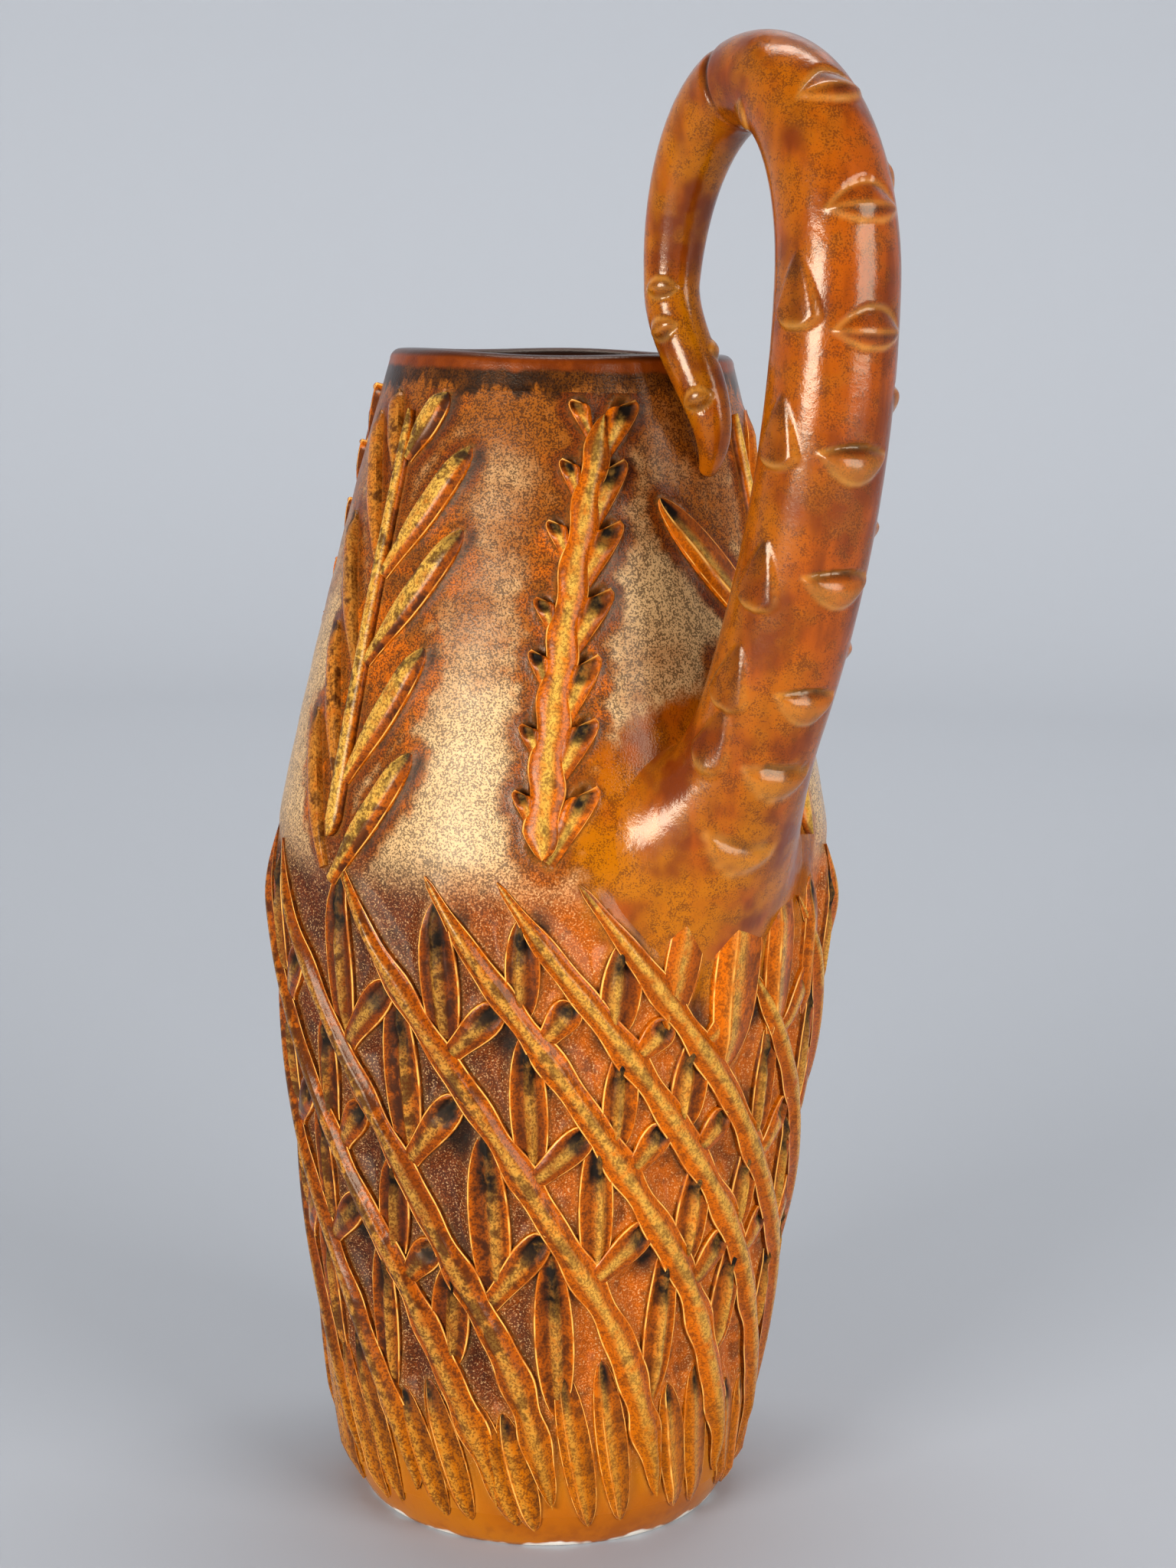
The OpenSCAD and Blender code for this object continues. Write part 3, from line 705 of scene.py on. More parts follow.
def rod_section(x, t, at):
    """A rod that is fullest on its upper side, with a cut tip."""
    q = low_side(x, at)
    hull = root(larger(1 - ((q + 0.15) / 1.15) ** 2, 0.0)) - 0.25 * ramp(q, 0.4, 1.0)
    return (0.25 + 0.85 * hull) * (0.7 + 0.3 * ramp(t, 0.0, 0.4) - 0.75 * ramp(t, 0.84, 0.98))


def rib_section(x, t, at):
    return 0.2 + 0.8 * root(larger(1 - x * x, 0.0))


def strap_section(x, t, at):
    """A low band with a rounded cord along its middle."""
    band = 0.3 + 0.2 * larger(1 - x * x, 0.0)
    cord = root(larger(1 - (x / 0.62) ** 2, 0.0))
    return (band + 0.5 * cord) * ramp(t, -0.02, 0.12) * (1 - 0.6 * ramp(t, 0.92, 1.0))


def stub_section(x, t, at):
    """Rounded at the foot, and scooped out at the cut end, with a rim round the scoop."""
    q = low_side(x, at)
    hull = 0.3 + 0.7 * root(larger(1 - x * x * 0.9, 0.0))
    scoop = ramp(t, 0.62, 0.86) * (1 - ramp(abs(q - 0.12), 0.35, 0.72)) * (1 - ramp(t, 0.95, 1.0))
    return hull * (0.4 + 0.7 * ramp(t, 0.0, 0.9)) - 0.85 * scoop


def cross_section(x, t, at):
    """A short strip with a scooped club end that stops short of the strap above it."""
    hull = 0.25 + 0.75 * root(larger(1 - x * x * 0.9, 0.0))
    scoop = ramp(t, 0.6, 0.8) * (1 - ramp(abs(x), 0.35, 0.75)) * (1 - ramp(t, 0.94, 1.0))
    return hull * ramp(t, -0.1, 0.25) * (1 - 0.3 * ramp(t, 0.7, 1.0)) - 0.8 * scoop


print("midrib height of a leaf:", round(float(leaf_section(0.0, 0.5, {"tone": 0.0}.get)), 2))

# %% Where the glaze pools or painted shade lies, where it turns gold or takes a painted highlight, and where it breaks at an edge
def side_pool_and_shade(x, t, at):
    """A little dark down the very edge: pooled glaze and painted shade where the piece drops to the wall."""
    return 0.7 * ramp(abs(x), 0.95, 1.0)


# Dark glaze pooled in the channels, painted shade with pooled glaze at the top where the leaf dives under a
# strap, and the edge's pooled glaze and painted shade.
def leaf_pool_and_shade(x, t, at):
    away = abs(x - MIDRIB_SWAY * at("tone"))
    channel = ramp(away, 0.25, 0.42) * (1 - ramp(abs(x), 0.6, 0.85))
    top = ramp(t, 0.56, 0.72) * (1 - ramp(abs(x), 0.35, 0.8))
    return larger(larger(channel * 0.5, top), side_pool_and_shade(x, t, at))


# Painted shade on the slope right of the fold, which is turned from the light, and dark glaze pooled at the
# tip.
def fold_pool_and_shade(x, t, at):
    flank = ramp(x, 0.05, 0.75) * 0.45 * (1 - ramp(x, 0.85, 1.0))
    return larger(flank, ramp(t, 0.74, 0.9) * (1 - ramp(abs(x), 0.3, 0.8)))


# Painted shadow along the leaflet's lower side, and dark glaze pooled in the cut tip.
def rod_pool_and_shadow(x, t, at):
    under = 0.6 * ramp(low_side(x, at), 0.5, 0.8) * (1 - ramp(low_side(x, at), 0.84, 0.93))
    return larger(ramp(t, 0.83, 0.93) * (1 - ramp(abs(x), 0.55, 0.95)) * 0.85, under)


def stub_pool(x, t, at):
    q = low_side(x, at)
    return ramp(t, 0.6, 0.76) * (1 - ramp(abs(q - 0.12), 0.4, 0.8)) * (1 - ramp(t, 0.95, 1.0))


def cross_pool(x, t, at):
    return ramp(t, 0.56, 0.76) * (1 - ramp(abs(x), 0.45, 0.85)) * (1 - ramp(t, 0.95, 0.99))


def mid_crest(x, t, at):
    return 1 - ramp(abs(x), 0.12, 0.52)


def rib_crest(x, t, at):
    return 1 - ramp(abs(x), 0.55, 0.9)


def leaf_crest(x, t, at):
    return 1 - ramp(abs(x - MIDRIB_SWAY * at("tone")), 0.12, 0.4)


def fold_crest(x, t, at):
    return bump(x, -0.2, 0.5)


def rod_gold_and_highlight(x, t, at):
    """Gold glaze and a painted highlight on the upper side, where the light falls, and more on the leaflets
    that lean right.
    """
    return (1 - ramp(low_side(x, at), 0.1, 0.5)) * (0.35 + 0.65 * ramp(at("tilt"), -5.0, 5.0))


def thin_line(x):
    """A line just inside an edge, as wide as a hair."""
    return bump(x, 0.93, 0.075)


def edge_rim(x, t, at):
    """A thin bright line at the edge, and a warm glow inside it."""
    return larger(thin_line(abs(x)), 0.45 * ramp(abs(x), 0.55, 0.9))


def soft_rim(x, t, at):
    """No bright line: the glaze only thins a little towards the edge."""
    return 0.4 * ramp(abs(x), 0.6, 0.95)


def fold_rim(x, t, at):
    return larger(bump(x, FOLD_AT, 0.19) * (0.75 + 0.25 * at("tone")), thin_line(abs(x)))


def rod_rim(x, t, at):
    return thin_line(low_side(x, at)) * (1 - ramp(t, 0.75, 0.95))


def stub_rim(x, t, at):
    side = thin_line(low_side(x, at)) * ramp(t, 0.1, 0.5)
    return larger(side, bump(t, 0.98, 0.035) * ramp(low_side(x, at), -0.9, -0.3))


def cross_rim(x, t, at):
    return larger(edge_rim(x, t, at), bump(t, 0.99, 0.03))


print("pool at the top of a cross leaf:", round(float(cross_pool(0.0, 0.8, None)), 2))

# %% [markdown]
# ## One node tree for every applied piece
# The tree takes points, puts a blank on each, realizes them, and moves each corner of a blank to its place
# on the wall. It could also be done with a loop over meshes. As nodes, the sizes stay inputs that a reader
# can slide.

# %% The blank
ACROSS = [-1, -0.93, -0.86, -0.66, -0.45, -0.28, -0.12, 0.12, 0.28, 0.45, 0.66, 0.86, 0.93, 1]


def blank(name, steps):
    """A closed strip: a finely divided top and a plain underside, with its place kept as numbers."""
    n = len(ACROSS) + 2
    ring = [(x, 1.0) for x in ACROSS] + [(1.0, 0.0), (-1.0, 0.0)]
    places = []
    for j in range(steps + 1):
        t = 0.5 - 0.5 * math.cos(math.pi * j / steps) if steps < 20 else j / steps
        places += [(x, t, top) for x, top in ring]
    faces = []
    for j in range(steps):
        for i in range(n):
            a, b = j * n + i, j * n + (i + 1) % n
            faces.append((a, b, b + n, a + n))
    faces.append(tuple(range(n - 1, -1, -1)))
    faces.append(tuple(range(steps * n, steps * n + n)))
    mesh = bpy.data.meshes.new(name)
    mesh.from_pydata(places, [], faces)
    for i, label in enumerate(("across", "along", "top")):
        keep(mesh, label, [p[i] for p in places])
    return shown(name, mesh)


short_blank, long_blank = blank("short_blank", 14), blank("long_blank", 80)
print("faces of a leaf blank:", len(short_blank.data.polygons))

# %% The tree
SIZES = ("turn", "height", "tilt", "length", "width", "rise", "curl", "sweep", "tone")


def applied_tree(name, path, outline, section, pool, crest, rim, skew):
    """Points in, pieces on the wall out. Skew slants the cut end of a stub."""
    tree = bpy.data.node_groups.new(name, "GeometryNodeTree")
    face = tree.interface
    kinds = {"Geometry": "Geometry", "Blank": "Object", "Rise share": "Float", "Edge lift": "Float",
             "Sink": "Float", "Glaze": "Material"}
    for label, kind in kinds.items():
        face.new_socket(label, in_out="INPUT", socket_type="NodeSocket" + kind)
    face.new_socket("Geometry", in_out="OUTPUT", socket_type="NodeSocketGeometry")
    start = Wire(tree)
    given = tree.nodes.new("NodeGroupInput")
    inputs = {s.name: Wire(tree, s) for s in given.outputs if s.name}

    def at(label):
        return start.node("GeometryNodeInputNamedAttribute", {"data_type": "FLOAT"}, {"Name": label})

    piece = start.node("GeometryNodeObjectInfo", sockets={"Object": inputs["Blank"]}, out="Geometry")
    laid = start.node("GeometryNodeInstanceOnPoints",
                      sockets={"Points": inputs["Geometry"], "Instance": piece})
    real = start.node("GeometryNodeRealizeInstances", sockets={"Geometry": laid})
    x, t, top = at("across"), at("along"), at("top")
    angle, z, run, climb = path(at, t * (1 + skew * low_side(x, at)) if skew else t)
    span = root(run * run + climb * climb)
    aside = x * outline(x, t, at) * at("width") / 2
    high = z - aside * run / span
    turned = angle + turn_of(aside * climb / span, high)
    lift = inputs["Edge lift"] + at("rise") * inputs["Rise share"] * section(x, t, at)
    lift = top * lift - (1 - top) * inputs["Sink"]
    spot = [v * MM for v in wall_place(turned, high, lift)]
    joined = start.node("ShaderNodeCombineXYZ", sockets=dict(enumerate(spot)))
    moved = start.node("GeometryNodeSetPosition", sockets={"Geometry": real, "Position": joined})
    marks = {"rim": rim(x, t, at), "pool": pool(x, t, at) * top, "crest": crest(x, t, at) * top}
    for label, value in marks.items():
        moved = start.node("GeometryNodeStoreNamedAttribute", {"data_type": "FLOAT", "domain": "POINT"},
                           {"Geometry": moved, "Name": label, "Value": value})
    smooth = start.node("GeometryNodeSetShadeSmooth", sockets={"Geometry": moved})
    glazed = start.node("GeometryNodeSetMaterial", sockets={"Geometry": smooth, "Material": inputs["Glaze"]})
    start.node("NodeGroupOutput", sockets={"Geometry": glazed})
    return tree


def applied_piece(name, rows, tree, blank_piece, glaze, edge_lift):
    """Runs the tree over a table of points and keeps the result as a plain mesh."""
    mesh = bpy.data.meshes.new(name)
    mesh.from_pydata([(0, 0, 0)] * len(rows), [], [])
    for label in SIZES:
        keep(mesh, label, [float(r[label]) for r in rows])
    made = shown(name, mesh)
    modifier = made.modifiers.new("applied", "NODES")
    modifier.node_group = tree
    values = {"Blank": blank_piece, "Rise share": 1.0, "Edge lift": edge_lift, "Sink": 1.5, "Glaze": glaze}
    for item in tree.interface.items_tree:
        if item.in_out == "INPUT" and item.name in values:
            modifier[item.identifier] = values[item.name]
    bpy.context.view_layer.update()
    graph = bpy.context.evaluated_depsgraph_get()
    solid = bpy.data.meshes.new_from_object(made.evaluated_get(graph), depsgraph=graph)
    made.modifiers.remove(modifier)
    made.data = solid
    solid.name = name
    for label in SIZES:
        if label != "tone" and label in solid.attributes:
            solid.attributes.remove(solid.attributes[label])
    solid.set_sharp_from_angle(angle=60 * RAD)
    print(name, "faces:", len(solid.polygons))
    return made


# path, outline, section, pool and shade, crest, rim and skew of each form
FORMS = {
    "leaf": (leaf_path, lens_outline, leaf_section, leaf_pool_and_shade, leaf_crest, edge_rim, 0),
    "blade": (leaf_path, lens_outline, fold_section, fold_pool_and_shade, fold_crest, fold_rim, 0),
    "leaflet": (leaf_path, rod_outline, rod_section, rod_pool_and_shadow, rod_gold_and_highlight, rod_rim, 0),
    "stub": (leaf_path, stub_outline, stub_section, stub_pool, mid_crest, stub_rim, 0.12),
    "cross": (leaf_path, cross_outline, cross_section, cross_pool, mid_crest, cross_rim, 0),
    "strap": (strap_path, strap_outline, strap_section, side_pool_and_shade, mid_crest, edge_rim, 0),
    "rib": (rib_path, rib_outline, rib_section, side_pool_and_shade, rib_crest, soft_rim, 0),
    "stem": (rib_path, stem_outline, rib_section, side_pool_and_shade, mid_crest, edge_rim, 0),
}
trees = {form: applied_tree(form + "_on_wall", *recipe) for form, recipe in FORMS.items()}
print("nodes in each tree:", {form: len(tree.nodes) for form, tree in trees.items()})

# %% Applied pieces
EDGE_LIFT, STRAP_LIFT = 0.2, 0.35
# name, points, form, blank, glaze, and the discs that stand for it on the wall's grid
APPLIED = [
    ("plait_straps", straps, "strap", long_blank, strap_glaze, 140),
    ("upright_leaves", uprights, "leaf", short_blank, leaf_glaze, 16),
    ("cross_leaves", crosses, "cross", short_blank, leaf_glaze, 10),
    ("foot_blades", blades, "blade", short_blank, strap_glaze, 18),
    ("root_flutes", flutes, "blade", short_blank, strap_glaze, 18),
    ("feathered_ribs", feather_ribs, "rib", long_blank, frond_glaze, 60),
    ("leaflets", leaflets, "leaflet", short_blank, frond_glaze, 16),
    ("broad_leaves", broad_leaves, "blade", short_blank, frond_glaze, 16),
    ("scaly_stems", scaly_stems, "stem", long_blank, frond_glaze, 60),
    ("sheaths", sheaths, "stub", short_blank, frond_glaze, 10),
    ("thorns", thorns, "stub", short_blank, frond_glaze, 10),
]
applied = {}
for name, rows, form, blank_piece, glaze, discs in APPLIED:
    lift = STRAP_LIFT if form == "strap" else EDGE_LIFT
    applied[name] = applied_piece(name, rows, trees[form], blank_piece, glaze, lift)
for spare in (short_blank, long_blank):
    bpy.data.objects.remove(spare)

# %% [markdown]
# ## The wall under the leaves
# A thumb presses the clay in between the straps, and slip fills the corner along each leaf. So the wall is
# not a plain cone: it sinks in the holes and swells at the edges. A fine grid in angle and height holds
# this. For each point it needs the distance to the nearest leaf, so every leaf is stamped on the grid as a
# row of discs.

# %% Distance from the leaves
COLUMNS, REACH = 560, 14.0
BELLY_ROW = 148
GRID_Z = np.concatenate([np.linspace(FLOOR_T, BELLY_Z, BELLY_ROW + 1),
                         np.linspace(BELLY_Z, LIP_Z, 108)[1:]])
GRID_A = np.arange(COLUMNS) * 360.0 / COLUMNS


def stamp(field, angle, z, radius, squash=1.0):
    """Lowers the field to the distance from a disc's edge; squash makes the disc tall."""
    rows = np.nonzero(abs(GRID_Z - z) < REACH)[0]
    r = float(wall_r(z))
    half = int(REACH / (r * RAD * 360 / COLUMNS)) + 1
    middle = int(round(angle / 360 * COLUMNS))
    columns = np.arange(middle - half, middle + half + 1)
    arc = (columns * 360 / COLUMNS - angle) * RAD * r
    away = np.hypot(arc[None, :], (GRID_Z[rows] - z)[:, None] * squash) - radius
    spot = np.ix_(rows, columns % COLUMNS)
    field[spot] = np.minimum(field[spot], away)


def stamp_rows(field, rows, path, outline, discs):
    """Stamps each piece as a row of discs along its spine."""
    for r, t in product(rows, np.linspace(0.02, 0.98, discs)):
        angle, z = path(r.get, t)[:2]
        stamp(field, float(angle), float(z), float(outline(0.0, t, r.get)) * r["width"] / 2)


plait_away = np.full((len(GRID_Z), COLUMNS), REACH)
frond_away = np.full_like(plait_away, REACH)
for name, rows, form, blank_piece, glaze, discs in APPLIED:
    path, outline = FORMS[form][:2]
    stamp_rows(frond_away if glaze == frond_glaze else plait_away, rows, path, outline, discs)
print("share of the lower wall under the plait:", round(float((plait_away[:BELLY_ROW] < 0).mean()), 2))

# %% Pooled glaze, painted shadows and dents
pool_and_shadow_away = np.full_like(plait_away, REACH)
# Painted shade on the wall where the straps overhang it, beside each cross leaf and at the top of each
# upright one.
for rows, share, aside, radius, squash in ((crosses, 0.42, 13.4, 2.2, 0.45), (uprights, 0.82, 3.6, 1.0, 0.4)):
    for r in rows:
        z = r["height"] + r["length"] * share
        stamp(pool_and_shadow_away, r["turn"] + float(turn_of(aside, z)), z, radius, squash)
# Painted cast shadow on the wall below each leaflet, on its lower side.
for r, t in product(leaflets, np.linspace(0.35, 1.0, 12)):
    angle, z = leaf_path(r.get, t)[:2]
    below = turn_of(2.2 * np.sign(r["tilt"]), z)
    stamp(pool_and_shadow_away, float(angle + below), float(z) - 1.6, 0.9 * t - 0.6)
for r in sheaths + thorns:
    angle, z = leaf_path(r.get, 0.97)[:2]
    stamp(pool_and_shadow_away, float(angle), float(z), 0.3, 0.8)

in_plait = 1 - ramp(GRID_Z, 150.0, 164.0)[:, None]
away = np.minimum(plait_away, frond_away)
hollow = ramp(away, 0.3, 4.0) * in_plait * ramp(GRID_Z, 9.0, 20.0)[:, None]
fillet = np.exp(-np.maximum(away, 0.0) / 0.7)
throw_lines = 0.05 * np.sin(GRID_Z / 2.1)[:, None] * ramp(GRID_Z, 160.0, 175.0)[:, None]
root_arc = arc_of(GRID_A[None, :], GRID_Z[:, None])
root_ring = np.hypot(root_arc / ROOT_HALF_W, (GRID_Z[:, None] - ROOT_Z) / ROOT_HALF_H) - 1
root_swell = np.exp(-np.maximum(root_ring, 0.0) / 0.25) * (root_ring < 2)
under = ramp(0 - away, 0.5, 1.3)
grid_lift = 0.25 * fillet - 1.6 * hollow - 1.2 * under + throw_lines * ramp(away, 2.0, 8.0) + root_swell
grid_pool_and_shade = 1 - ramp(pool_and_shadow_away, -0.6, 2.8)
grid_near = 1 - ramp(frond_away, 0.0, 8.0)
grid_joint = 1 - ramp(root_ring, 0.3, 0.9)
grid_rim = 0.15 * np.exp(-np.maximum(away, 0.0) / 0.5)
print("deepest hollow:", round(float(grid_lift.min()), 2))

# %% [markdown]
# ## Glaze on the wall
# The panels between the fronds are satin, tan and thickly peppered, and turn orange near a leaf. In the
# plait the glaze lies deep and red. Under the lip it has run in dark streaks, and at the foot it is a clear
# gold. Round the handle's root the wall takes the branch's own colour, so that no line shows where the two
# meet.
# Beside and under the leaves the wall also takes painted shadows and pooled glaze.

# %% Wall glaze
def bark_colour(where, scorch):
    """Red brown with amber clouds and specks, golden low down, on the left and on the tendril."""
    x, y, z = parts_of(where)
    cloud = noise(where, 22.0)
    patch = noise(where, 9.0)
    mottle = noise(where, 3.0, 3.0)
    grain = noise(where, 0.36)
    drip = noise(where, 4.0, 2.0, (1, 1, 6))
    golden = larger(1 - ramp(z, 160.0, 215.0), ramp(72 - x, 0.0, 24.0) * ramp(z, 240.0, 262.0))
    golden = larger(golden, ramp(58 - x * 0.59 - y * 0.81, 0.0, 16.0) * 0.5)
    dusted = ramp(patch + (cloud - 0.5) * 0.8 + scorch * 0.3, 0.4, 0.6)
    specks = ramp(grain + (mottle - 0.5) * 0.7, 0.48, 0.64)
    body = coats(mix(ramp(cloud + (drip - 0.5) * 0.6, 0.38, 0.64), RUST, BARK),
                 (ramp(patch + (mottle - 0.5) * 0.6, 0.45, 0.7) * 0.5, BROWN),
                 (golden * ramp(patch + cloud, 0.75, 1.15) * 0.75, FOOT_GOLD),
                 (specks * (0.2 + dusted * 0.45), UMBER))
    return body, mottle, grain


def foot_colour(cloud):
    return mix(ramp(cloud, 0.4, 0.7) * 0.5, FOOT_GOLD, BARK)


def wall_glaze(name):
    material, start = new_glaze(name)
    where = places_mm(start)
    x, y, z = parts_of(where)
    cloud = noise(where, 30.0)
    mottle = noise(where, 4.0, 3.0)
    grain = noise(where, 0.42)
    clump = noise(where, 1.6)
    streak = noise(where, 3.0, 2.0, (1, 1, 7))
    rim, pool, near = (mark(start, n) for n in ("rim", "pool", "near"))
    upper = ramp(z, 152.0, 168.0)
    handle_side = towards_handle(x, y)
    low = 1 - ramp(z, 12.0, 40.0)
    speck = ramp(grain + (clump - 0.5) * 0.35, 0.44, 0.58)
    fleck = ramp(grain, 0.3, 0.44)
    joint = ramp(mark(start, "joint") + (mottle - 0.5) * 0.8, 0.15, 0.8)
    bark = bark_colour(where, joint * 0.5)[0]
    panel = coats(mix(ramp(cloud + mottle * 0.3 + (z - 212) * 0.007, 0.5, 0.95), TAN, BROWN),
                  (ramp(near + (mottle - 0.5) * 0.9 + (cloud - 0.5), 0.25, 0.85), BROWN),
                  (ramp(near + (mottle - 0.5) * 0.6 + (0.5 - cloud), 0.6, 1.1), RUST),
                  (near * ramp(mottle + cloud, 1.05, 1.3), AMBER),
                  (speck * 0.74, PURPLE),
                  (joint, bark))
    ground = coats(mix(ramp(cloud + handle_side * 0.6, 0.45, 0.9), RUST, AMBER),
                   ((0.26 + speck * 0.5) * (1 - handle_side * 0.5), PURPLE),
                   (ramp(mottle + (0.5 - cloud) * 0.6, 0.48, 0.7) * 0.55, PURPLE),
                   ((1 - fleck) * 0.7, TAN),
                   (joint, bark))
    band = ramp(z + (streak - 0.5) * 12, 261.2, 263.2)
    thick = 0.55 + 0.45 * ramp(cloud + mottle * 0.4, 0.55, 0.8)
    thin = mix(ramp(cloud + mottle * 0.8, 0.65, 1.3) * 0.7, LIP_BROWN, BARK)
    thin = mix(ramp(z + (mottle - 0.5), 268.4, 269.4) * 0.7, thin, DARK)
    inside = 1 - ramp(root(x * x + y * y) - wall_r(z), -4.2, -2.8)
    body = coats(mix(upper, ground, panel),
                 (band * thick * 0.92, DARK),
                 (ramp(z + (mottle - 0.5) * 2, 265.8, 267.0), thin),
                 (low * ramp(cloud + mottle * 0.5, 0.4, 0.9), FOOT_GOLD),
                 (1 - ramp(z, 9.0, 20.0), foot_colour(cloud)),
                 (rim * 0.7, EDGE),
                 # Pooled glaze and painted shadows beside and under the leaves.
                 (pool * (0.65 + mottle * 0.5), DARK),
                 (inside * 0.85, DARK))
    roughness = 0.44 - upper * 0.19 - handle_side * 0.1 - joint * 0.1 + mottle * 0.1 + pool * 0.2
    finish_glaze(body, roughness, 0.28, grain * 0.35 + mottle * 0.5 + streak * 0.2, 0.15)
    return material


outer_glaze = wall_glaze("wall_glaze")
print("wall glaze nodes:", len(outer_glaze.node_tree.nodes))

# %% Wall pieces
def revolve(name, grid, marks, glaze, closed=True):
    """A closed shell from a grid of places: rows follow the section, columns go round."""
    n, columns = grid.shape[:2]
    count = n if closed else n - 1
    i, c = np.meshgrid(np.arange(count), np.arange(columns), indexing="ij")
    after, beside = (i + 1) % n, (c + 1) % columns
    corners = [i * columns + c, i * columns + beside, after * columns + beside, after * columns + c]
    faces = np.stack(corners, -1).reshape(-1, 4)
    mesh = bpy.data.meshes.new(name)
    mesh.from_pydata((grid.reshape(-1, 3) * MM).tolist(), [], faces.tolist())
    for label, values in marks.items():
        keep(mesh, label, values.ravel().astype(np.float32))
    mesh.shade_smooth()
    mesh.set_sharp_from_angle(angle=50 * RAD)
    mesh.materials.append(glaze)
    print(name, "faces:", len(mesh.polygons))
    return shown(name, mesh)


def wall_grid(first, last, inner_steps):
    """Outer rows of the grid from first to last, then plain inner rows back down."""
    zs = GRID_Z[first:last + 1]
    angles = np.broadcast_to(GRID_A, (len(zs), COLUMNS))
    outer = np.stack(wall_place(angles, zs[:, None] + 0 * angles, grid_lift[first:last + 1]), -1)
    back = np.linspace(zs[-1], zs[0], inner_steps)
    r = (wall_r(back) - WALL_T)[:, None] + 0 * GRID_A
    inner = np.stack([r * np.cos(GRID_A * RAD), r * np.sin(GRID_A * RAD), back[:, None] + 0 * r], -1)
    outer[0, :, 2], outer[-1, :, 2] = zs[0], zs[-1]
    fade = np.zeros((inner_steps, COLUMNS))
    marks = {label: np.vstack([grid[first:last + 1], fade])
             for label, grid in (("rim", grid_rim), ("pool", grid_pool_and_shade), ("near", grid_near),
                                 ("joint", grid_joint))}
    return np.vstack([outer, inner]), marks


lower_grid, lower_marks = wall_grid(0, BELLY_ROW, 8)
upper_grid, upper_marks = wall_grid(BELLY_ROW, len(GRID_Z) - 1, 8)
lower_piece = revolve("lower_wall_skin", lower_grid, lower_marks, outer_glaze)
upper_piece = revolve("upper_wall_skin", upper_grid, upper_marks, outer_glaze)

# %% [markdown]
# ## The branch handle
# The handle is a rolled branch: a flared root on the shoulder, a trunk that leans out, a crown and a thin
# tendril that comes down to the wall. Where leaves were pulled off, it has lens-shaped scars cut in from
# above. A curve with a bevel gives the branch but not the scars, so its skin is a grid of rings, and each
# scar moves the points that it covers.

# %% The branch's path
HANDLE_REACH, HANDLE_TOP, CROWN_Z, CROWN_SPAN, ROOT_SINK = 92.5, 326.0, 285.0, 53.0, 4.5
TRUNK_R, CROWN_R, TENDRIL_R, TIP_R, TUCK = 13.4, 12.6, 6.0, 2.2, 26.0
LUTE, TIP_SEAT = 0.2, 0.72
TRUNK_LEAN = HANDLE_REACH - float(wall_r(ROOT_Z)) + ROOT_SINK
TIP_TURN = math.degrees(math.asin(TIP_SHIFT / float(wall_r(TIP_Z))))
TIP_CENTRE = np.array(wall_place(TIP_TURN, TIP_Z, TIP_R * TIP_SEAT + LUTE), float)


def path_points(s):
    """Centre line of the branch: 0 to 1 is the trunk, 1 to 2 the crown and 2 to 3 the tendril."""
    s = np.asarray(s, float)[:, None]
    x, z = np.eye(3)[[0, 2]]
    trunk = (HANDLE_REACH - TRUNK_LEAN * (1 - s) ** 2) * x + (ROOT_Z + (CROWN_Z - ROOT_Z) * s) * z
    a = np.pi * (s - 1)
    crown_x = HANDLE_REACH - CROWN_SPAN / 2 * (1 - np.cos(a))
    crown = crown_x * x + (CROWN_Z + (HANDLE_TOP - CROWN_Z) * np.sin(a)) * z
    t, drop = s - 2, CROWN_Z - TIP_Z
    begin = np.array([HANDLE_REACH - CROWN_SPAN, 0, CROWN_Z])
    leaving, arriving = np.array([0, 0, -drop]), np.array([-TUCK, TIP_SHIFT, -drop])
    tendril = ((2 * t ** 3 - 3 * t ** 2 + 1) * begin + (t ** 3 - 2 * t ** 2 + t) * leaving
               + (3 * t ** 2 - 2 * t ** 3) * TIP_CENTRE + (t ** 3 - t ** 2) * arriving)
    return np.where(s <= 1, trunk, np.where(s <= 2, crown, tendril))


def path_r(s):
    """Radius of the branch along its path."""
    s = np.asarray(s, float)
    trunk = TRUNK_R + (CROWN_R - TRUNK_R) * s * s
    crown = CROWN_R + (TENDRIL_R - CROWN_R) * np.clip(s - 1, 0, 1) ** 1.3
    tendril = TENDRIL_R + (TIP_R - TENDRIL_R) * np.clip(s - 2, 0, 1) ** 3
    return np.where(s <= 1, trunk, np.where(s <= 2, crown, tendril))


def branch_rings(s, angles):
    """Rings of the branch. Angle 0 faces out of the loop and a quarter turn faces +Y."""
    step = 0.001
    along = path_points(np.minimum(s + step, 3)) - path_points(np.maximum(s - step, 0))
    along /= np.linalg.norm(along, axis=1, keepdims=True)
    side = np.array([0, 1, 0]) - along[:, 1:2] * along
    side /= np.linalg.norm(side, axis=1, keepdims=True)
    out = np.cross(side, along)
    spoke = out[:, None] * np.cos(angles)[None, :, None] + side[:, None] * np.sin(angles)[None, :, None]
    return path_points(s)[:, None] + path_r(s)[:, None, None] * spoke


SIDES, BRANCH_STEPS, ROOT_STEPS, CAP_STEPS, BASE_STEPS = 150, 560, 72, 8, 2
ROOT_BEND, ROOT_END, FLARE, FLARE_SINK = 0.165, 0.26, 1.4, -0.7
ring_turns = np.arange(SIDES) * 2 * np.pi / SIDES
even = np.linspace(ROOT_END, 3, 4000)
walked = np.concatenate([[0], np.cumsum(np.linalg.norm(np.diff(path_points(even), axis=0), axis=1))])
branch_s = np.interp(np.linspace(0, walked[-1], BRANCH_STEPS), walked, even)
print("length of the branch above its root:", round(float(walked[-1]), 1))

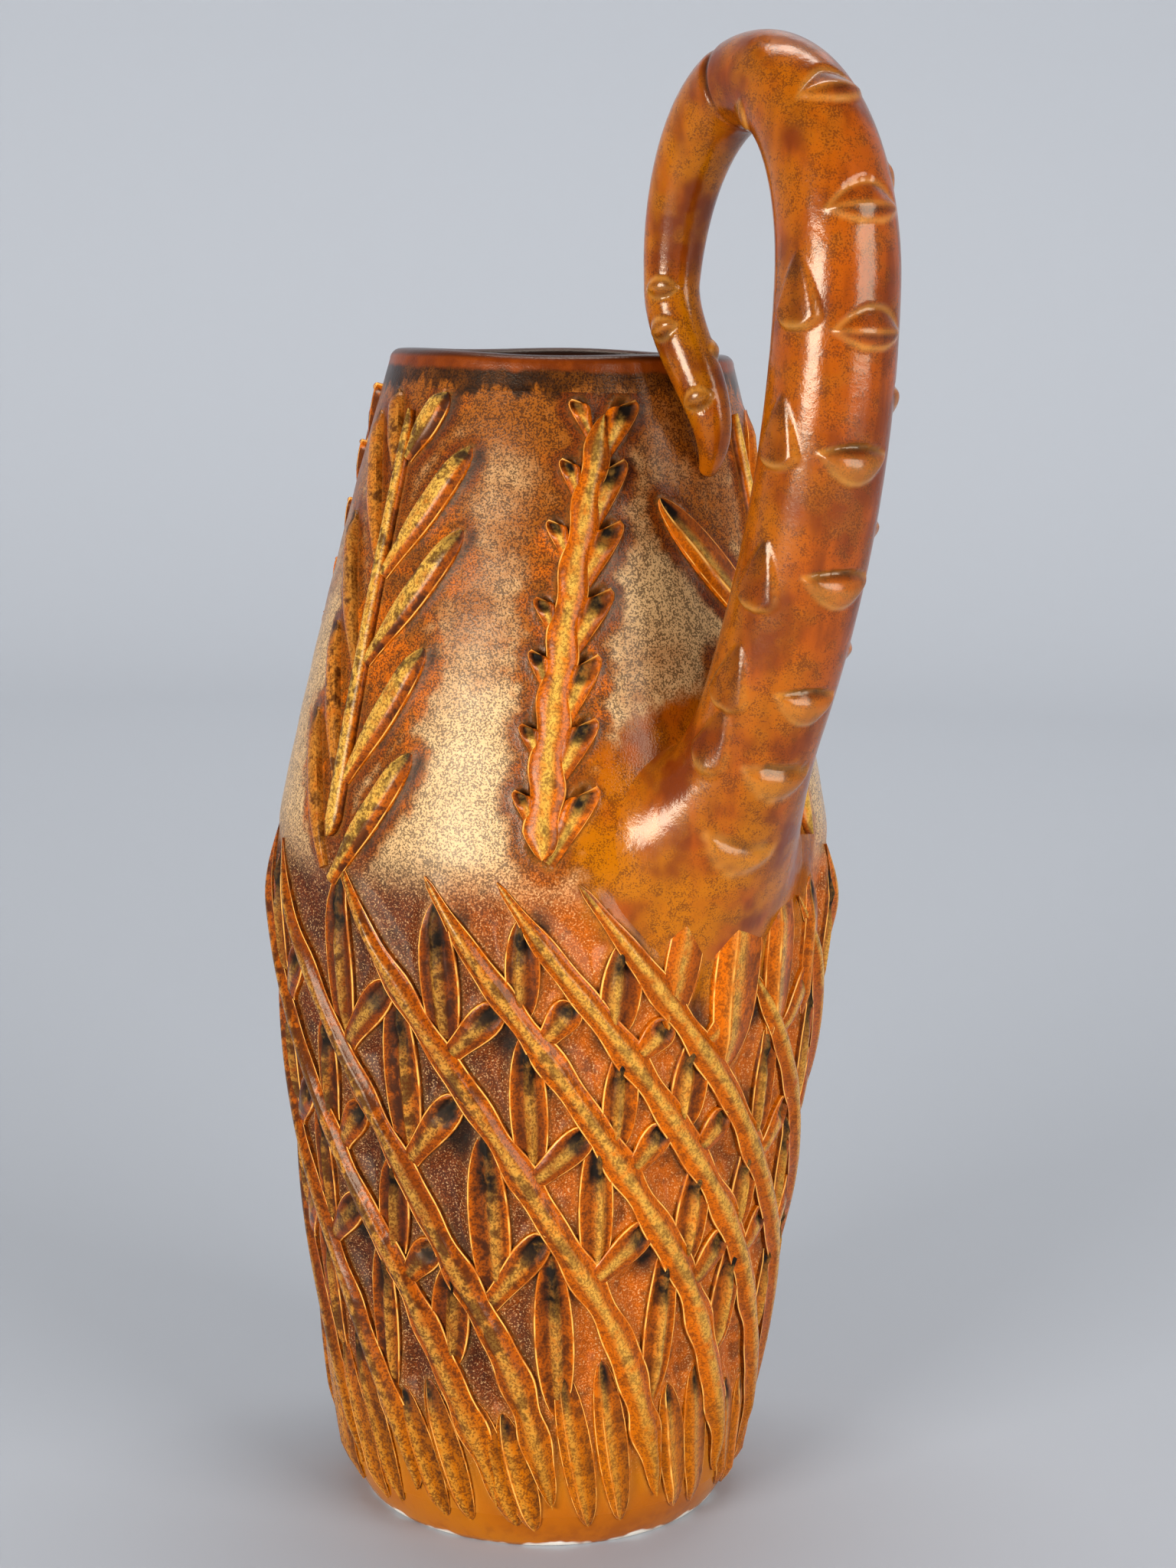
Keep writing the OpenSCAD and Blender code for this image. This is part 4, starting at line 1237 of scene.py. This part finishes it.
# %% The root and the whole skin
def seat(share, lift):
    """An oval on the wall, lowest at angle 0."""
    z = ROOT_Z - share * ROOT_HALF_H * np.cos(ring_turns)
    return np.stack(wall_place(turn_of(share * ROOT_HALF_W * np.sin(ring_turns), z), z, lift), -1)


def root_rings():
    """The flare from the wall to the branch, on a cubic that leaves the wall along the wall."""
    bend, end = branch_rings(np.array([ROOT_BEND, ROOT_END]), ring_turns)
    first, second = seat(FLARE, FLARE_SINK), seat(1.02, 1.0)
    t = np.linspace(0, 1, ROOT_STEPS + 1)[:-1, None, None]
    return (1 - t) ** 3 * first + 3 * t * (1 - t) ** 2 * second + 3 * t * t * (1 - t) * bend + t ** 3 * end


def tip_rings():
    """A rounded end on the tendril."""
    last = branch_rings(np.array([2.999, 3.0]), ring_turns)[-1]
    middle = last.mean(0)
    ahead = path_points([3.0])[0] - path_points([2.99])[0]
    ahead /= np.linalg.norm(ahead)
    a = np.linspace(0, np.pi / 2, CAP_STEPS + 1)[1:, None, None]
    return middle + (last - middle) * np.maximum(np.cos(a), 0.02) + ahead * TIP_R * np.sin(a)


base_ring = seat(FLARE, FLARE_SINK)
base_rings = np.stack([base_ring.mean(0) + (base_ring - base_ring.mean(0)) * k for k in (0.02, 0.6)])
skin = np.concatenate([base_rings, root_rings(), branch_rings(branch_s, ring_turns), tip_rings()])
ring_r = np.linalg.norm(skin - skin.mean(1, keepdims=True), axis=2).mean(1)
print("rings on the branch:", len(skin))

# %% Scars, buds and the crease
def grid_normals(grid):
    """Outward normals of a grid of rings."""
    ahead = np.gradient(grid, axis=0)
    around = np.roll(grid, -1, axis=1) - np.roll(grid, 1, axis=1)
    normal = np.cross(around, ahead)
    return normal / np.maximum(np.linalg.norm(normal, axis=2, keepdims=True), 1e-9)


branch_out = grid_normals(skin)
push = np.zeros(skin.shape[:2])
scar_pool_and_shade, scar_rim_and_highlight, scorch = np.zeros_like(push), np.zeros_like(push), np.zeros_like(push)


def column_of(angle):
    return int(round(angle / 360 * SIDES)) % SIDES


def local(angle, row_at):
    """Distances round and along the branch from a place on it."""
    line = skin[:, column_of(angle)]
    walk = np.concatenate([[0], np.cumsum(np.linalg.norm(np.diff(line, axis=0), axis=1))])
    turn = (ring_turns - angle * RAD + np.pi) % (2 * np.pi) - np.pi
    return turn[None, :] * ring_r[:, None], (walk - walk[row_at])[:, None] + 0 * turn[None, :]


def row_of_share(s):
    """The ring nearest to a place along the path."""
    return int(np.argmin(abs(branch_s - s))) + BASE_STEPS + ROOT_STEPS


def row_of_height(angle, z):
    """The ring on the root or the trunk that passes this height."""
    line = skin[BASE_STEPS:row_of_share(1.0), column_of(angle), 2]
    return int(np.argmin(abs(line - z))) + BASE_STEPS


def add_scorch(u, v):
    """Specks gather round a scar."""
    np.maximum(scorch, np.exp(-(u * u + v * v) / 90), out=scorch)


def scar(angle, row_at, half_width, above, below, crest_share,
         cut, ridge, roundness, dark_above, dark_below):
    """A scar: cut in under its upper edge, then a ridge, then a lip that is round or falls off straight, with
    painted shade and pooled glaze in its dark parts and painted highlights on its ridge and lip.
    """
    u, v = local(angle, row_at)
    full = np.clip(1 - (u / half_width) ** 2, 0, 1)
    soft = np.sqrt(full)
    top, foot = above * full, -below * full
    crest = top - crest_share * (top - foot)
    inside = (full > 0) & (v < top) & (v > foot)
    upper = np.clip((v - crest) / np.maximum(top - crest, 0.05), 0, 1)
    lower = np.clip((crest - v) / np.maximum(crest - foot, 0.05), 0, 1)
    lip = roundness * np.sin(np.pi * (0.2 + 0.72 * lower)) + (1 - roundness) * (1 - 0.75 * lower)
    edge = roundness * 0.59 + 1 - roundness
    swell = np.where(v > crest, ridge * edge * (1 - upper) - cut * upper, ridge * lip) * soft
    push[inside] = swell[inside]
    # Pooled glaze and painted shade darken the cut above the ridge and the hollow under it.
    dark = np.maximum(ramp(upper, 0.1, 0.6) * dark_above, bump(lower, 0.3, 0.3) * dark_below) * soft
    scar_pool_and_shade[inside] = dark[inside]
    # A painted highlight along the ridge and over a round lip; the lines at the foot and the top edge are
    # glaze thinning over an edge.
    ridge_highlight = bump(v - crest, 0.0, 0.7) * (0.5 - 0.3 * roundness)
    line = np.maximum(ridge_highlight, bump(v - foot, 0.3, 0.8) * 0.8) * soft
    line = np.maximum(line, bump(v - top, -0.4, 0.7) * 0.7)
    scar_rim_and_highlight[inside] = np.maximum(line, 0.22 * roundness * ramp(lower, 0.0, 0.3))[inside]
    add_scorch(u, v)


def teardrop(angle, row_at, half_width, above, below):
    """A flap left by a leaf: pointed above, lifted off the branch, with a round thick end below, painted
    shade on its pointed half and a painted highlight at its round end.
    """
    u, v = local(angle, row_at)
    t = np.clip((v + below) / (above + below), 0, 1)
    half = half_width * np.sqrt(np.clip(t * 5, 0, 1)) * (1 - t) ** 0.7 + 0.01
    full = np.clip(1 - (u / half) ** 2, 0, 1) * ((v > -below) & (v < above))
    on = full > 0
    push[on] = (1.5 * (1 - 0.75 * t) * ramp(full, -0.1, 0.35))[on]
    # Bright glaze and a painted highlight on the round end, and bright glaze along the edge.
    scar_rim_and_highlight[on] = np.maximum(0.6 * (1 - ramp(t, 0.04, 0.14)), 0.4 * bump(full, 0.15, 0.15))[on]
    # The flap's face is darker, and painted shade darkens its pointed upper half.
    scar_pool_and_shade[on] = (0.3 * ramp(full, 0.2, 0.7) + 0.4 * ramp(t, 0.5, 0.95))[on]
    add_scorch(u, v)


def lower_scar(angle, row_at, half_width):
    """Low on the trunk a cut, dark with pooled glaze and painted shade, lies above a full lip with a painted
    highlight.
    """
    scar(angle, row_at, half_width, above=2.0, below=6.2, crest_share=0.3,
         cut=1.5, ridge=1.35, roundness=1.0, dark_above=0.95, dark_below=0.0)


def upper_scar(angle, row_at, half_width):
    """High on the trunk a broad facet runs out to a ridge with a painted highlight, and pooled glaze and
    painted shade lie under it.
    """
    scar(angle, row_at, half_width, above=5.4, below=3.6, crest_share=0.58,
         cut=0.9, ridge=1.25, roundness=0.0, dark_above=0.25, dark_below=0.85)


for i, s in enumerate([0.34, 0.54, 0.74]):
    lower_scar(-5 + 4 * wobble(i), row_of_share(s), 8.8 + 0.6 * wobble(i + 2))
for i, s in enumerate([0.93, 1.1, 1.28]):
    upper_scar(-7 + 4 * wobble(i + 3), row_of_share(s), 9.0 + 0.6 * wobble(i))
for i, s in enumerate([0.32, 0.5, 0.74, 0.97]):
    teardrop(-84 + 4 * wobble(i), row_of_share(s), 6.6, 10.0, 5.0)
for i, s in enumerate([0.41, 0.62, 0.84, 1.17]):
    lower_scar(78 + 5 * wobble(i), row_of_share(s), 8.0)
for angle, z in ((-10, 185.0), (-20, 168.0)):
    lower_scar(angle, row_of_height(angle, z), 9.0)
teardrop(-80, row_of_height(-80, 190.0), 6.2, 10.0, 5.0)
for s, angle in zip([2.03, 2.24, 2.42, 2.62, 1.4], [-118, -100, 132, -118, -130]):
    scar(angle, row_of_share(s), 4.2, above=2.4, below=2.8, crest_share=0.5,
         cut=0.5, ridge=1.0, roundness=0.4, dark_above=0.6, dark_below=0.4)
facing = 0.3 + 0.7 * bump((ring_turns * 180 / np.pi + 180) % 360 - 180, -62.0, 85.0)[None, :]
crease = bump(local(0.0, row_of_share(1.57))[1], 0.0, 2.2) * facing
push -= 1.1 * crease
# Painted shade darkens the crease, most on the side towards the camera.
scar_pool_and_shade = np.maximum(scar_pool_and_shade, ramp(crease, 0.15, 0.8) * 0.95)


def softened(field):
    """Each point takes a share of its neighbours, so that a cut edge is not a row of teeth."""
    round_it = (np.roll(field, 1, 1) + 2 * field + np.roll(field, -1, 1)) / 4
    ends = np.pad(round_it, ((1, 1), (0, 0)), mode="edge")
    return (ends[:-2] + 2 * ends[1:-1] + ends[2:]) / 4


push, scar_pool_and_shade, scar_rim_and_highlight = softened(push), softened(scar_pool_and_shade), softened(scar_rim_and_highlight)
branch = skin + branch_out * push[..., None]
print("highest ridge and deepest cut:", round(float(push.max()), 2), round(float(push.min()), 2))

# %% [markdown]
# ## Glaze on the branch
# Here the glaze is thick, clear and glossy, red brown with amber clouds and a dusting of dark specks. The
# scars' rims are bright, partly from painted highlights on their ridges and lips, and pooled glaze and
# painted shade darken their cuts and the crease.

# %% Bark glaze and the handle piece
def bark_glaze(name):
    material, start = new_glaze(name)
    where = places_mm(start)
    rim, pool = mark(start, "rim"), mark(start, "pool")
    body, mottle, grain = bark_colour(where, mark(start, "scorch"))
    # The rim colour also paints the scars' highlights, and the dark paints pooled glaze and shade in the cuts
    # and the crease.
    body = coats(body, (rim * 0.55, EDGE), (pool * (0.6 + mottle * 0.5), DARK))
    finish_glaze(body, 0.11 + mottle * 0.14, 0.45, mottle + grain * 0.16, 0.11)
    return material


branch_coat = bark_glaze("branch_glaze")
branch_marks = {"rim": scar_rim_and_highlight, "pool": scar_pool_and_shade, "scorch": scorch}
handle_piece = revolve("branch_handle", branch, branch_marks, branch_coat, closed=False)


def close_ends(piece, rings):
    """Fills the first and the last ring with one face each."""
    work = bmesh.new()
    work.from_mesh(piece.data)
    work.verts.ensure_lookup_table()
    work.faces.new([work.verts[i] for i in range(SIDES - 1, -1, -1)])
    work.faces.new([work.verts[(rings - 1) * SIDES + i] for i in range(SIDES)])
    work.to_mesh(piece.data)
    work.free()


close_ends(handle_piece, len(branch))

# %% [markdown]
# ## Lip and foot
# The lip is a rounded roll that shares the wall's glaze. The foot is a flat slab with a soft heel, and
# white clay shows where its edge is chipped. Both are turned on the wheel, so a section that goes round is
# the right way to make them.

# %% Lip and foot
AXIS_R, TURNED_COLUMNS, LIP_WANDER = 0.5, 240, 0.25


def lip_section():
    crest_z, half = BODY_H - WALL_T / 2, WALL_T / 2
    crest_r = float(wall_r(crest_z)) - half
    turns = np.linspace(0, np.pi, 13)
    points = [(float(wall_r(LIP_Z)), LIP_Z)]
    points += [(float(wall_r(z)), z) for z in np.linspace(LIP_Z, crest_z, 6)[1:-1]]
    points += [(crest_r + half * math.cos(a), crest_z + half * math.sin(a)) for a in turns]
    points += [(float(wall_r(LIP_Z)) - WALL_T, LIP_Z)]
    return points


def foot_section():
    points = [(AXIS_R, 0.0), (BASE_R - 4, 0.0), (BASE_R - 1.0, 0.0)]
    points += [(float(wall_r(z)), z) for z in np.linspace(0.35, FLOOR_T, 10)]
    points += [(float(wall_r(FLOOR_T)) - WALL_T, FLOOR_T), (AXIS_R, FLOOR_T)]
    return points


def turned(name, points, wander, glaze):
    """A section taken round the axis; wander lets the hand show."""
    angles = np.arange(TURNED_COLUMNS) * 2 * np.pi / TURNED_COLUMNS
    grid = np.array([[(r * math.cos(a), r * math.sin(a), z) for a in angles] for r, z in points])
    slow = np.sin(3 * angles + 0.7) + 0.6 * np.sin(5 * angles + 2.0)
    grid[1:-1, :, 2] += wander * slow * (np.array([z for r, z in points])[1:-1, None] > 1)
    return revolve(name, grid, {}, glaze)


def foot_glaze(name):
    material, start = new_glaze(name)
    where = places_mm(start)
    z = parts_of(where)[2]
    cloud = noise(where, 30.0)
    mottle = noise(where, 3.0, 3.0)
    bare = 1 - ramp(z + (noise(where, 9.0) - 0.5) * 6, 0.1, 0.9)
    rusty = ramp(mottle + (cloud - 0.5), 0.55, 0.8) * 0.3 * (1 - ramp(z, 4.0, 9.0))
    body = coats(foot_colour(cloud), (rusty, RUST), (bare, CLAY))
    finish_glaze(body, 0.22 + bare * 0.5, 0.3, mottle, 0.1)
    return material


lip_piece = turned("lip_roll", lip_section(), LIP_WANDER, outer_glaze)
foot_piece = turned("foot_slab", foot_section(), 0.0, foot_glaze("foot_glaze"))

# %% [markdown]
# ## Handing over
# Each piece rides on the jug's one body and takes the place of the clay pieces it stands for. The table
# also lists the finish of the record that each piece belongs to, which nothing here applies.

# %% Bodies, nodes and slots
def nodes_of(name, numbers):
    """Names of a row of nodes, which count from 1."""
    return [f"{name}_{k + 1}" for k in numbers]


HAND_OVER = [
    (foot_piece, "bare_clay", ["base_slab"]),
    (lower_piece, "dark_glaze", ["lower_wall"]),
    (upper_piece, "amber_glaze", ["upper_wall"]),
    (lip_piece, "bark_glaze", ["lip_coil"]),
    (handle_piece, "bark_glaze", ["handle_root", "handle_trunk", "handle_tendril", "outer_scar_lips",
                                  "near_scar_lips", "far_scar_lips", "tendril_buds"]),
    (applied["feathered_ribs"], "gold_glaze", nodes_of("frond_rib", sorted(SLIM + BROAD))),
    (applied["scaly_stems"], "gold_glaze", nodes_of("frond_rib", SCALY)),
    (applied["leaflets"], "gold_glaze", nodes_of("frond_leaflets", SLIM)),
    (applied["broad_leaves"], "gold_glaze", nodes_of("frond_leaflets", BROAD)),
    (applied["sheaths"], "gold_glaze", nodes_of("frond_leaflets", SCALY)),
    (applied["thorns"], "gold_glaze", []),
    (applied["plait_straps"], "gold_glaze", nodes_of("plait_strap", range(len(TIP_TURNS)))),
    (applied["upright_leaves"], "dark_glaze", nodes_of("plait_uprights", range(UPRIGHT_ROWS))),
    (applied["cross_leaves"], "amber_glaze", nodes_of("plait_crosses", range(CROSS_ROWS))),
    (applied["foot_blades"], "gold_glaze", ["foot_blades"]),
    (applied["root_flutes"], "bark_glaze", []),
]
for piece, slot, nodes in HAND_OVER:
    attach(piece, "root")
    if nodes:
        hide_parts(*nodes)
triangles = sum(len(p.vertices) - 2 for piece, slot, nodes in HAND_OVER for p in piece.data.polygons)
print("pieces:", len(HAND_OVER), "triangles:", triangles)
